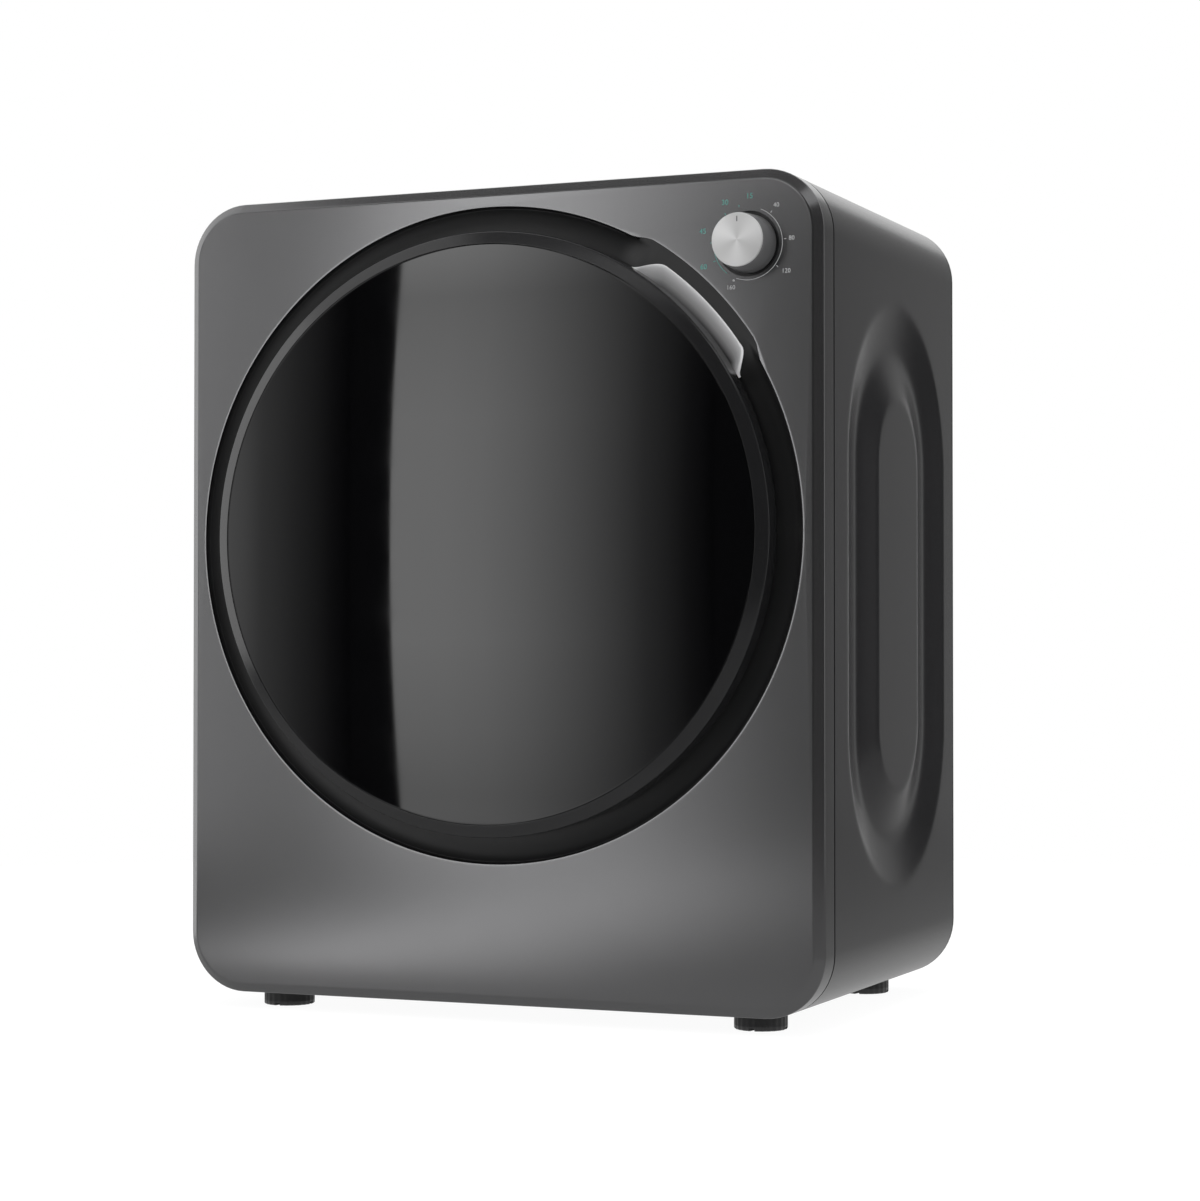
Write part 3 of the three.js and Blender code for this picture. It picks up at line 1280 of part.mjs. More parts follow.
// ---- Timer behind the panel and its knob in front
const knobPlace = [KNOB_X, 0, KNOB_Z];
const timerStart = PANEL_SHEET + SEAT_GAP;
const timerShaftHole = TIMER_SHAFT_RADIUS + RUNNING_GAP;
const knobFoot = timerStart - RUNNING_GAP;
const shaftEnd = timerStart + TIMER_SHAFT_GRIP;
const hubInner = TIMER_SHAFT_RADIUS + SEAT_GAP;
const faceBack = KNOB_FACE_SHEET - KNOB_PROUD;
const knobFront = faceBack + SEAT_GAP;
mesh(
  "timer_unit",
  disc(TIMER_RADIUS, timerStart, timerStart + TIMER_DEPTH)
    .subtract(disc(timerShaftHole, timerStart - PAST, shaftEnd + SEAT_GAP))
    .translate(...knobPlace),
  blackMoulding,
  cabinet,
);
mesh(
  "timer_shaft",
  disc(TIMER_SHAFT_RADIUS, knobFront + KNOB_WALL + SEAT_GAP, shaftEnd).translate(...knobPlace),
  zincSteel,
  cabinet,
);
mesh(
  "timer_knob",
  ring(
    [
      [KNOB_RADIUS, knobFoot],
      [KNOB_RADIUS - KNOB_WALL, knobFoot],
      [KNOB_FRONT_RADIUS - KNOB_WALL, knobFront + KNOB_WALL],
      [KNOB_HUB_RADIUS, knobFront + KNOB_WALL],
      [KNOB_HUB_RADIUS, knobFoot],
      [hubInner, knobFoot],
      [hubInner, knobFront],
      [KNOB_FRONT_RADIUS, knobFront],
    ],
    MIDDLE_STEPS,
  ).translate(...knobPlace),
  blackMoulding,
  cabinet,
);
mesh(
  "knob_face",
  disc(KNOB_FACE_RADIUS, -KNOB_PROUD, faceBack, MIDDLE_STEPS).translate(...knobPlace),
  spunAluminium,
  cabinet,
);

// ---- Mains entry: the gland for the cord, and the terminal block on the rear bulkhead
const glandBack = CABINET_DEPTH + SEAT_GAP;
mesh(
  "cord_inlet",
  ring(
    [
      [CORD_BORE_RADIUS, glandBack - CORD_INLET_LENGTH],
      [CORD_INLET_RADIUS, glandBack - CORD_INLET_LENGTH],
      [CORD_INLET_RADIUS, glandBack],
      [CORD_INLET_RADIUS + CORD_INLET_FLANGE, glandBack],
      [CORD_INLET_RADIUS + CORD_INLET_FLANGE, glandBack + CORD_INLET_PROUD],
      [CORD_BORE_RADIUS, glandBack + CORD_INLET_PROUD],
    ],
    SMALL_STEPS,
  ).translate(CORD_INLET_X, 0, cordInletZ),
  blackMoulding,
  cabinet,
);
mesh(
  "terminal_block",
  block(
    [TERMINAL_OFFSET, TERMINAL_OFFSET + TERMINAL_WIDTH],
    [BACK_OF_BULKHEAD, BACK_OF_BULKHEAD + TERMINAL_DEPTH],
    [-TERMINAL_HEIGHT / 2, TERMINAL_HEIGHT / 2],
  ).translate(CORD_INLET_X, 0, cordInletZ),
  whiteCeramic,
  cabinet,
);

export default dryer;
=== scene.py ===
import math

import bmesh
import bpy
from mathutils import Euler, Matrix, Vector


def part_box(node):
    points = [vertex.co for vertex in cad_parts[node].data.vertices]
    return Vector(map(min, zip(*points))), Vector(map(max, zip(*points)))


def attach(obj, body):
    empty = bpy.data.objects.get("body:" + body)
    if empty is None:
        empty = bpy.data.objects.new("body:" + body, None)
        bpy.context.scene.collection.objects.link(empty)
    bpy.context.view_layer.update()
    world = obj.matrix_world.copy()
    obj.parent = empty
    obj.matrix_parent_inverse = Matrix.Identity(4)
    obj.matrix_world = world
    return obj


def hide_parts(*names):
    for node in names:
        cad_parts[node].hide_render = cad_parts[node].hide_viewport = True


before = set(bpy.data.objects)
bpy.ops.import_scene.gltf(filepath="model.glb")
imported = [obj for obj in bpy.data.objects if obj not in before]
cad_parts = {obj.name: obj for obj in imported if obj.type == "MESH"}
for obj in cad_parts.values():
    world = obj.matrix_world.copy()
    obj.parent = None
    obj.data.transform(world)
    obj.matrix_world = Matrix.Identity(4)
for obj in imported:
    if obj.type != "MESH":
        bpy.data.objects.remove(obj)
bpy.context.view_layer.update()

scene = bpy.context.scene
mm = 0.001

# ---- Camera
# A long lens stands low in front of the right-hand corner, so that the front and the right side
# show. It is tilted up by a degree, and its small shift sets the framing.
lens = bpy.data.cameras.new("camera")
lens.lens, lens.sensor_width = 85.893, 36
lens.shift_x, lens.shift_y = -0.00316, 0.00216
tilt_up, turn_left = 0.017, 0.4
camera = bpy.data.objects.new("camera", lens)
camera.location = (0.875, -2.0394, 0.2652)
camera.rotation_euler = (math.pi / 2 + tilt_up, 0, turn_left)
scene.collection.objects.link(camera)
scene.camera = camera
scene.view_settings.view_transform = "Standard"


# ---- Studio
# A pale sweep on the floor and a white surround, lit by one tall graded softbox at the left front.
# Cards that only gloss can see keep the dark side of the glass and of the paint dark.
def add(tree, kind, inputs=None, **settings):
    """Adds a shader node, sets it, and links or fills its sockets."""
    node = tree.nodes.new("ShaderNode" + kind)
    for name, value in settings.items():
        setattr(node, name, value)
    for socket, value in (inputs or {}).items():
        if isinstance(value, bpy.types.NodeSocket):
            tree.links.new(value, node.inputs[socket])
        else:
            node.inputs[socket].default_value = value
    return node


def linear(hex_colour):
    """An sRGB hex value as a linear colour."""
    channels = [int(hex_colour[i : i + 2], 16) / 255 for i in (0, 2, 4)]
    return [c / 12.92 if c <= 0.04045 else ((c + 0.055) / 1.055) ** 2.4 for c in channels] + [1]


def backdrop_ray(tree):
    """1 for what the camera, gloss and clear pieces see, 0 for the light that falls on things."""
    path = add(tree, "LightPath")
    camera_ray, gloss_ray, clear_ray = (
        path.outputs[kind] for kind in ("Is Camera Ray", "Is Glossy Ray", "Is Transmission Ray")
    )
    seen = add(tree, "Math", {0: camera_ray, 1: gloss_ray}, operation="MAXIMUM").outputs[0]
    return add(tree, "Math", {0: seen, 1: clear_ray}, operation="MAXIMUM").outputs[0]


def position(bm, verts, size=(1, 1, 1), turn=None, place=None):
    """Scales points, turns them about the middle, and moves them, in this order."""
    if size != (1, 1, 1):
        bmesh.ops.scale(bm, vec=size, verts=verts)
    if turn:
        bmesh.ops.rotate(bm, cent=(0, 0, 0), matrix=turn, verts=verts)
    if place:
        bmesh.ops.translate(bm, vec=place, verts=verts)


plain_white = (1, 1, 1, 1)
ambient = 1  # the share of the surround's light that falls on things
world = bpy.data.worlds.new("studio")
world.use_nodes = True
tree = world.node_tree
tree.nodes.clear()
scene.world = world
shares = {0: backdrop_ray(tree), 1: 1 - ambient, 2: ambient}
level = add(tree, "Math", shares, operation="MULTIPLY_ADD")
sky = add(tree, "Background", {"Color": plain_white, "Strength": level.outputs[0]})
add(tree, "OutputWorld", {"Surface": sky.outputs[0]})


def graded(tree, coordinate, stops):
    """A ramp along one coordinate, in metres, through (place, value) stops."""
    start, end = stops[0][0], stops[-1][0]
    share = add(tree, "MapRange", {"Value": coordinate, "From Min": start, "From Max": end})
    ramp = add(tree, "ValToRGB", {"Fac": share.outputs[0]})
    points = ramp.color_ramp.elements
    while len(points) < len(stops):
        points.new(0.5)
    for point, (place, value) in zip(points, stops):
        point.position = (place - start) / (end - start)
    for point, (place, value) in zip(points, stops):
        point.color = (value, value, value, 1)
    return ramp.outputs[0]


facing = {
    "up": (0, 0, 0),
    "down": (math.pi, 0, 0),
    "back": (-math.pi / 2, 0, 0),
    "front": (math.pi / 2, 0, 0),
    "left": (0, -math.pi / 2, 0),
    "right": (0, math.pi / 2, 0),
}


def bare_material(name):
    made = bpy.data.materials.new(name)
    made.use_nodes = True
    made.node_tree.nodes.clear()
    return made, made.node_tree


def finished(bm, name, material):
    """An object of a bmesh and one material."""
    mesh = bpy.data.meshes.new(name)
    bm.to_mesh(mesh)
    bm.free()
    mesh.materials.append(material)
    made = bpy.data.objects.new(name, mesh)
    scene.collection.objects.link(made)
    return made


def card(name, size, place, side, radiance, stops=None):
    """A glowing studio card, in place in its mesh. Its stops grade the glow along X."""
    bm = bmesh.new()
    bmesh.ops.create_grid(bm, x_segments=1, y_segments=1, size=0.5)
    position(bm, bm.verts, (*size, 1), Euler(facing[side]).to_matrix(), place)
    glow, tree = bare_material(name + "_glow")
    lamp = add(tree, "Emission", {"Color": plain_white, "Strength": radiance})
    add(tree, "OutputMaterial", {"Surface": lamp.outputs[0]})
    made = finished(bm, name, glow)
    made.visible_camera = False
    if stops:
        axes = add(tree, "SeparateXYZ", {0: add(tree, "TexCoord").outputs["Object"]})
        tree.links.new(graded(tree, axes.outputs["X"], stops), lamp.inputs["Color"])
    return made, tree, lamp


# The softbox has a crisp edge at its left, bowed by its cloth, and fades out to its right.
tree, lamp = card("softbox", (0.782, 2.2), (-1.168, -3, 0.72), "back", 3.6)[1:]
bow, bow_middle = 0.06, 0.5
axes = add(tree, "SeparateXYZ", {0: add(tree, "TexCoord").outputs["Object"]})
off_middle = add(tree, "Math", {0: axes.outputs["Z"], 1: bow_middle}, operation="SUBTRACT")
off_middle = off_middle.outputs[0]
squared = add(tree, "Math", {0: off_middle, 1: off_middle}, operation="MULTIPLY").outputs[0]
bowed = {0: squared, 1: -bow, 2: axes.outputs["X"]}
bowed = add(tree, "Math", bowed, operation="MULTIPLY_ADD").outputs[0]
across_stops = [(-1.8, 0), (-1.5605, 0), (-1.559, 1), (-1.42, 0.98), (-1.325, 0.9), (-1.23, 0.74)]
across_stops += [(-1.13, 0.53), (-1.035, 0.33), (-0.94, 0.14), (-0.84, 0.03), (-0.777, 0)]
upright_stops = [(-0.38, 0.55), (-0.09, 0.55), (0.048, 0.69), (0.25, 0.83), (0.73, 0.83)]
upright_stops += [(0.862, 0.77), (1, 0.7), (1.12, 0.95), (1.4, 1), (1.6, 0.9), (1.82, 0.5)]
across = graded(tree, bowed, across_stops)
upright = graded(tree, axes.outputs["Z"], upright_stops)
both = {0: 1, 6: across, 7: upright}
both = add(tree, "Mix", both, data_type="RGBA", blend_type="MULTIPLY")
tree.links.new(both.outputs[2], lamp.inputs["Color"])

side_stops = [(-4.264, 0.05), (-2.6, 0.1), (-2.2, 0.4), (-2.05, 0.87), (-1.955, 0.57)]
side_stops += [(-1.906, 0.34), (-1.81, 0.16), (-1.713, 0.03), (-1.664, 0)]
card("side_softbox", (2.6, 2.4), (-2.964, -3, 0.8), "back", 1.8, side_stops)

top_light = bpy.data.lights.new("top_light", "AREA")
top_light.shape = "RECTANGLE"
top_light.size, top_light.size_y = 1.6, 1.2
top_light.energy = 30
top_lamp = bpy.data.objects.new("top_light", top_light)
top_lamp.location = (0.3, -0.1, 2.2)
top_lamp.visible_glossy = False
scene.collection.objects.link(top_lamp)

rear_stops = [(0.2, 0.24), (0.6, 0.26), (1.1, 0.25), (1.4, 0.07), (1.8, 0.01), (3.1, 0.01)]
floor_stops = [(-1.2, 0.1), (-0.7, 0.1), (-0.56, 0.12), (-0.45, 0.9), (-0.31, 2.2), (-0.16, 1.1)]
floor_stops += [(0, 0.32), (1.35, 0.3)]
side_floor_stops = [(0.15, 0.6), (0.26, 0.6), (0.31, 0.48), (0.4, 0.34), (0.55, 0.25)]
side_floor_stops += [(0.9, 0.2), (1.5, 0.22)]
for gloss_card in (
    ("front_flag", (7.6, 3.8), (1.25, -3.05, 1.3), "back", 0.02),
    ("right_flag", (3.8, 3.8), (3.2, -1.4, 1.3), "left", 0.06),
    ("rear_flag", (2.8, 2.4), (1.75, 2.6, 0.8), "front", 1.15, rear_stops),
    ("left_card", (3, 1.9), (-3.4, -1.1, 1), "right", 1.7),
    ("upper_fill", (0.8, 0.7), (-0.4, -2.98, 1.6), "back", 3),
    ("ceiling_flag", (3, 2.2), (0, -1.1, 3), "down", 0.14),
    ("floor_flag", (2.6, 1.3), (0.05, -0.86, 0.002), "up", 1, floor_stops),
    ("floor_edge_flag", (2.6, 0.34), (0.05, -0.25, 0.003), "up", 0.42),
    ("side_floor_flag", (1.35, 2.35), (0.825, 1.025, 0.004), "up", 1, side_floor_stops),
):
    flag = card(*gloss_card)[0]
    flag.visible_diffuse = flag.visible_transmission = flag.visible_shadow = False

# The floor shows as near white with a faint shadow, and lights the machine as matt pale paint.
bm = bmesh.new()
bmesh.ops.create_circle(bm, cap_ends=True, radius=1.5, segments=96)
floor_paint, tree = bare_material("matt_white_floor")
matt = add(tree, "BsdfDiffuse", {"Color": linear("E6E6E6")})
shadow_catch = add(tree, "BsdfDiffuse", {"Color": (0.1, 0.1, 0.1, 1)})
white = add(tree, "Emission", {"Color": plain_white, "Strength": 0.95})
pale = add(tree, "AddShader", {0: shadow_catch.outputs[0], 1: white.outputs[0]})
shown = {0: backdrop_ray(tree), 1: matt.outputs[0], 2: pale.outputs[0]}
shown = add(tree, "MixShader", shown)
add(tree, "OutputMaterial", {"Surface": shown.outputs[0]})
finished(bm, "floor", floor_paint)


# ---- Front panel
# A steel pressing with a flat bevelled rim and a folded skirt, sprayed in dark metallic paint.
# The round opening is turned in with a small bright chamfer, and the knob has a round hole.
def surface(name, settings):
    """A material with one Principled shader, set from typical values, and object coordinates."""
    made, tree = bare_material(name)
    shader = add(tree, "BsdfPrincipled", settings)
    add(tree, "OutputMaterial", {"Surface": shader.outputs[0]})
    return made, tree, shader, add(tree, "TexCoord").outputs["Object"]


def grained(name, settings, colours, sizes, rough, stretch=(1, 1, 1)):
    """Two near colours in soft patches, and a grain that lifts the surface and varies its gloss.

    The sizes are the patches' width, the grain's width and the grain's height, in real millimetres.
    """
    made, tree, shader, place = surface(name, settings)
    light, dark = colours
    patch, grain, relief = (size * mm for size in sizes)
    where = add(tree, "Mapping", {"Vector": place, "Scale": stretch}).outputs[0]
    cloud = add(tree, "TexNoise", {"Vector": where, "Scale": 1 / patch, "Detail": 3})
    shades = {0: cloud.outputs[0], 6: linear(dark), 7: linear(light)}
    tint = add(tree, "Mix", shades, data_type="RGBA")
    tree.links.new(tint.outputs[2], shader.inputs["Base Color"])
    fine = add(tree, "TexNoise", {"Vector": where, "Scale": 1 / grain, "Detail": 2})
    bump = add(tree, "Bump", {"Height": fine.outputs[0], "Distance": relief, "Strength": 1})
    tree.links.new(bump.outputs[0], shader.inputs["Normal"])
    span = {"From Min": 0.3, "From Max": 0.7, "To Min": rough[0], "To Max": rough[1]}
    sheen = add(tree, "MapRange", {"Value": fine.outputs[0], **span})
    tree.links.new(sheen.outputs[0], shader.inputs["Roughness"])
    return made


def settle(bm, name, finish, body, slot, *replaced, sharp=32, even=False):
    """Closes a mesh, shades it smooth between its sharp edges, and puts the piece on its body."""
    bmesh.ops.remove_doubles(bm, verts=bm.verts, dist=2e-6)
    bmesh.ops.delete(bm, geom=[e for e in bm.edges if not e.link_faces], context="EDGES")
    bmesh.ops.recalc_face_normals(bm, faces=bm.faces)
    piece = finished(bm, name, finish)
    piece.data.shade_smooth()
    piece.data.set_sharp_from_angle(angle=math.radians(sharp))
    if even:
        piece.modifiers.new("even_normals", "WEIGHTED_NORMAL").keep_sharp = True
    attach(piece, body)
    if replaced:
        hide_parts(*replaced)
    return piece


look_forwards = Matrix.Rotation(math.pi / 2, 3, "X")


def rounded(bm, geom, offset, segments, affect="VERTICES", clamp=False):
    """Rounds corners or edges with a round bevel."""
    shape = {"profile": 0.5, "affect": affect, "material": -1, "clamp_overlap": clamp}
    bmesh.ops.bevel(bm, geom=geom, offset=offset, segments=segments, **shape)


def rounded_face(bm, width, height, corner, place, segments=14):
    """One flat face with rounded corners that looks forwards."""
    others = set(bm.faces)
    verts = bmesh.ops.create_grid(bm, x_segments=1, y_segments=1, size=0.5)["verts"]
    position(bm, verts, (width, height, 1), look_forwards, place)
    rounded(bm, verts, corner, segments)
    return max((f for f in bm.faces if f not in others), key=lambda f: f.calc_area())


def loop(bm, radius, place, segments, turn=look_forwards):
    """A round loop, which looks forwards unless it is turned: its points and its edges."""
    circle = bmesh.ops.create_circle(bm, cap_ends=False, radius=radius, segments=segments)
    verts = circle["verts"]
    position(bm, verts, turn=turn, place=place)
    return verts, list(dict.fromkeys(e for v in verts for e in v.link_edges))


def pierce(bm, face, loops):
    """Fills a face again round the loops that pierce it."""
    rim = list(face.edges)
    bmesh.ops.delete(bm, geom=[face], context="FACES_ONLY")
    edges = rim + [e for edges in loops for e in edges]
    bmesh.ops.triangle_fill(bm, use_beauty=True, edges=edges)


def sorted_out(geom):
    """The points, the edges and the faces in a mixed list."""
    kinds = (bmesh.types.BMVert, bmesh.types.BMEdge, bmesh.types.BMFace)
    return [[part for part in geom if isinstance(part, kind)] for kind in kinds]


def grow(bm, edges):
    """Extrudes edges in place. Gives the new points and the new edges."""
    return sorted_out(bmesh.ops.extrude_edge_only(bm, edges=edges)["geom"])[:2]


def thicken(bm, thickness):
    """Gives a skin its wall."""
    bmesh.ops.recalc_face_normals(bm, faces=bm.faces)
    bmesh.ops.solidify(bm, geom=bm.faces[:], thickness=thickness)


def pan(bm, low, high, corner, bevel, fold):
    """A pan that looks forwards: a flat front, a bevel (its width and depth) and a skirt."""
    width, height = high.x - low.x, high.z - low.z
    middle = (low.x + width / 2, low.y + bevel[1], low.z + height / 2)
    face = rounded_face(bm, width, height, corner, middle)
    skirt = grow(bm, list(face.edges))[0]
    position(bm, skirt, place=(0, high.y - middle[1], 0))
    size = {"thickness": bevel[0], "depth": bevel[1]}
    bmesh.ops.inset_region(bm, faces=[face], **size, use_boundary=True, use_even_offset=True)
    crease = 0.45
    creases = [e for e in bm.edges if len(e.link_faces) == 2 and e.calc_face_angle() > crease]
    rounded(bm, creases, fold, 3, "EDGES", clamp=True)
    return max(bm.faces, key=lambda f: f.calc_area())


def middle_of(low, high):
    return [(a + b) / 2 for a, b in zip(low, high)]


panel_low, panel_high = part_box("front_panel")
front_y = panel_low.y
ring_low, ring_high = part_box("door_ring")
axis_x, _, axis_z = middle_of(ring_low, ring_high)
door_radius = (ring_high.x - ring_low.x) / 2
opening_radius = 236.2 * mm
corner_radius = 44 * mm
knob_low, knob_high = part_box("timer_knob")
knob_x, _, knob_z = middle_of(knob_low, knob_high)
knob_hole = 22.8 * mm
# The opening bulges over the scoop. Angles are in degrees about the door, up from its right.
scoop_middle, lobe_half, lobe_ramp, lobe_rise = 46, 16.6, 4.2, 4.5 * mm


def held(share):
    return min(max(share, 0), 1)


def smooth(share):
    share = held(share)
    return share * share * (3 - 2 * share)


def lobe_share(angle):
    """How far the opening has bulged out over the finger scoop, from 0 to 1."""
    return smooth((lobe_half - abs(angle - scoop_middle)) / lobe_ramp)


# Fine aluminium flake in a satin lacquer: a neutral grey with a broad, soft highlight.
# Flake is about 0.03 mm across, and is drawn at 0.35 mm so that it shows.
lacquer = {"Metallic": 0.93, "Coat Roughness": 0.5, "Coat IOR": 1.5}
flake = (50, 0.35, 0.0006), (0.165, 0.19)
metallic_paint = grained(
    "metallic_spray_paint", {**lacquer, "Coat Weight": 0.6}, ("707071", "6C6C6D"), *flake
)
bm = bmesh.new()
rim_bevel, panel_fold, panel_wall = (6.7 * mm, 5.2 * mm), 0.9 * mm, 2 * mm
front = pan(bm, panel_low, panel_high, corner_radius, rim_bevel, panel_fold)
edge_roll, edge_dip, lip = 1.4 * mm, 0.15 * mm, 1.9 * mm
opening, rim = loop(bm, opening_radius + edge_roll, (axis_x, front_y, axis_z), 288)
for vert in opening:
    across, up = vert.co.x - axis_x, vert.co.z - axis_z
    rise = lobe_rise * lobe_share(math.degrees(math.atan2(up, across)))
    grown = 1 + rise / math.hypot(across, up)
    vert.co.x, vert.co.z = axis_x + across * grown, axis_z + up * grown
pierce(bm, front, [rim, loop(bm, knob_hole, (knob_x, front_y, knob_z), 64)[1]])
for inwards, back in ((edge_roll, edge_dip), (0, lip)):
    fresh, rim = grow(bm, rim)
    for vert in fresh:
        across, up = vert.co.x - axis_x, vert.co.z - axis_z
        kept = 1 - inwards / math.hypot(across, up)
        vert.co = (axis_x + across * kept, vert.co.y + back, axis_z + up * kept)
thicken(bm, panel_wall)
# The same paint with a thinner coat, made darker on the folded skirt as painted shade for its
# shadowed return.
skirt_shaded_paint = grained(
    "metallic_paint_painted_shade", {**lacquer, "Coat Weight": 0.3}, ("505051", "4C4C4D"), *flake
)
skirt_reach = 30 * mm
# The skirt's faces take the darker copy of the paint, which is painted shade.
for face in bm.faces:
    outermost = max(abs(v.co.x) for v in face.verts)
    if abs(face.normal.y) < 0.3 and outermost > panel_high.x - skirt_reach:
        face.material_index = 1
front_panel = settle(
    bm, "painted_front_panel", metallic_paint, "cabinet", "metallic_panel", "front_panel", even=True
)
front_panel.data.materials.append(skirt_shaded_paint)


# ---- Cabinet wrap
# One steel sheet folded round the machine and powder coated in a fine satin grey.
# A long racetrack bead is pressed into each side to stiffen it.
# Baked powder leaves a fine ripple, drawn at its own size, that softens what it mirrors.
powder_coat = grained(
    "satin_powder_coat", {"IOR": 1.5},
    ("232324", "202021"), (80, 0.7, 0.002), (0.18, 0.22),
)
wrap_low, wrap_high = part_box("cabinet_wrap")
panel_overlap, wrap_wall = 1.6 * mm, 1.2 * mm
bead_middle_y, bead_middle_z = front_y + 176 * mm, 307 * mm
bead_radius, bead_half, bead_reach, bead_depth = 84 * mm, 95 * mm, 35 * mm, 6.3 * mm
bead_round = 0.22


def bead_press(vert):
    """How deep the bead is at a point of the side: straight flanks with a rounded bottom."""
    along = max(abs(vert.co.z - bead_middle_z) - bead_half, 0)
    off = abs(math.hypot(vert.co.y - bead_middle_y, along) - bead_radius) / bead_reach
    whole = math.sqrt(1 + bead_round**2)
    share = (whole - math.sqrt(off**2 + bead_round**2)) / (whole - bead_round)
    return bead_depth * max(share, 0)


bm = bmesh.new()
wrap_start = wrap_low.y + panel_overlap
middle = (0, wrap_start, middle_of(wrap_low, wrap_high)[2])
face = rounded_face(bm, 2 * wrap_high.x, wrap_high.z - wrap_low.z, corner_radius, middle)
uprights = [
    e
    for e in face.edges
    if e.calc_length() > 0.4 and abs(e.verts[0].co.x - e.verts[1].co.x) < 1e-5
]
bmesh.ops.delete(bm, geom=[face], context="FACES_ONLY")
rows_up, rows_back = 150, 96
bmesh.ops.subdivide_edges(bm, edges=uprights, cuts=rows_up)
rim = bm.edges[:]
for _ in range(rows_back):
    fresh, rim = grow(bm, rim)
    position(bm, fresh, place=(0, (wrap_high.y - wrap_start) / rows_back, 0))
for vert in bm.verts:
    if abs(vert.co.x) > wrap_high.x - 1e-5:
        vert.co.x -= math.copysign(bead_press(vert), vert.co.x)
thicken(bm, wrap_wall)
settle(bm, "folded_cabinet_wrap", powder_coat, "cabinet", "cabinet_paint", "cabinet_wrap")


# ---- Rear panel
# A shallow bevelled cap in the same powder coat closes the back.
# It is cut away behind the fan cover, at the heater's air intake and at the mains entry.
rear_low, rear_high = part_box("rear_panel")
cover_low, cover_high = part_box("rear_cover")
intake_low, intake_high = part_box("intake_grille")
gland_low, gland_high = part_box("cord_inlet")
gland_x, _, gland_z = middle_of(gland_low, gland_high)
gland_hole, rear_wall = 9.3 * mm, 1.5 * mm
bm = bmesh.new()
back = pan(bm, rear_low, rear_high, corner_radius, (5 * mm, 5 * mm), panel_fold)
holes = []
for low, high, inset, corner in (
    (cover_low, cover_high, 14 * mm, 46 * mm),
    (intake_low, intake_high, 11 * mm, 2 * mm),
):
    size = high - low
    middle = ((low.x + high.x) / 2, rear_low.y, (low.z + high.z) / 2)
    hole = rounded_face(bm, size.x - 2 * inset, size.z - 2 * inset, corner, middle, 8)
    holes.append(list(hole.edges))
    bmesh.ops.delete(bm, geom=[hole], context="FACES_ONLY")
holes.append(loop(bm, gland_hole, (gland_x, rear_low.y, gland_z), 32)[1])
pierce(bm, back, holes)
thicken(bm, rear_wall)
position(bm, bm.verts, (1, -1, 1), place=(0, rear_low.y + rear_high.y, 0))
settle(bm, "bevelled_rear_panel", powder_coat, "cabinet", "cabinet_paint", "rear_panel", even=True)


# ---- Base plate and bulkheads
# Bare zinc-plated sheet steel: a base with threaded bosses, and two walls that carry the drum.
# The brackets and the two sheet housings of the air path are pressed from the same sheet.
def dress(finish, *names):
    """Gives CAD nodes whose shape is right their real finish."""
    for name in names:
        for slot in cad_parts[name].material_slots:
            slot.material = finish


# Bright zinc plate: a cool grey, slightly mottled, with soft reflections.
zinc_plate = grained(
    "zinc_plated_steel", {"Metallic": 1},
    ("B4B7BA", "9DA1A5"), (12, 0.5, 0.006), (0.34, 0.5),
)
dress(zinc_plate, "base_plate", "front_bulkhead", "rear_bulkhead", "motor_bracket")
dress(zinc_plate, "capacitor_clip", "bearing_housing", "heater_housing", "fan_housing")
dress(zinc_plate, "hinge_bracket", "hinge_leaf")


# ---- Levelling feet
# Black moulded pads on steel studs that screw into the base's bosses. The edge has shallow flutes
# to grip, and four notches at the floor that take a wrench.
# Rubber gives a matt black with a soft grey sheen.
rubber = grained(
    "moulded_epdm_rubber", {"IOR": 1.52, "Specular IOR Level": 0.4},
    ("2B2B2C", "232324"), (10, 0.4, 0.01), (0.36, 0.48),
)
notch_count, notch_depth, notch_height, notch_half = 4, 6 * mm, 1.9 * mm, 0.06
flute_count, flute_depth = 24, 0.35 * mm
pad_side, pad_top = 10.6 * mm, 11.7 * mm
stud_start, stud_radius, thread_root = 11.6 * mm, 4 * mm, 3.5 * mm
half_pitch, threads = 0.6 * mm, 14
for corner in ("front_left", "front_right", "rear_left", "rear_right"):
    low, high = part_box("foot_" + corner)
    x, y, _ = middle_of(low, high)
    foot_radius = (high.x - low.x) / 2
    bm = bmesh.new()
    rim, edges = loop(bm, foot_radius, None, 192, None)
    for height, reach, cut in (
        (0, 0.8 * mm, True),
        (0.8 * mm, 0, True),
        (notch_height, 0, True),
        (notch_height, 0, False),
        (pad_side, 0, False),
        (pad_top, 1.1 * mm, False),
    ):
        if height or not cut:
            rim, edges = grow(bm, edges)
        for vert in rim:
            turn = math.atan2(vert.co.y, vert.co.x) / math.tau
            flute = flute_depth * (1 + math.cos(turn * flute_count * math.tau)) / 2
            notched = cut and abs((turn * notch_count + 0.5) % 1 - 0.5) < notch_half
            wanted = foot_radius - reach - flute - (notch_depth if notched else 0)
            out = math.hypot(vert.co.x, vert.co.y)
            vert.co = (vert.co.x * wanted / out, vert.co.y * wanted / out, height)
    for height in (0, pad_top):
        ends = [e for e in bm.edges if e.is_boundary and abs(e.verts[0].co.z - height) < 1e-7]
        bmesh.ops.contextual_create(bm, geom=ends)
    stud, bottom = loop(bm, stud_radius, (0, 0, stud_start), 24, None)
    edges = bottom
    for radius in (thread_root, stud_radius) * threads:
        stud, edges = grow(bm, edges)
        for vert in stud:
            out = math.hypot(vert.co.x, vert.co.y)
            vert.co.x, vert.co.y = vert.co.x * radius / out, vert.co.y * radius / out
            vert.co.z += half_pitch
    bmesh.ops.contextual_create(bm, geom=edges)
    bmesh.ops.contextual_create(bm, geom=bottom)
    position(bm, bm.verts, place=(x, y, 0))
    name, body = "levelling_foot_" + corner, corner + "_foot"
    settle(bm, name, rubber, body, "rubber", "foot_" + corner, sharp=28)


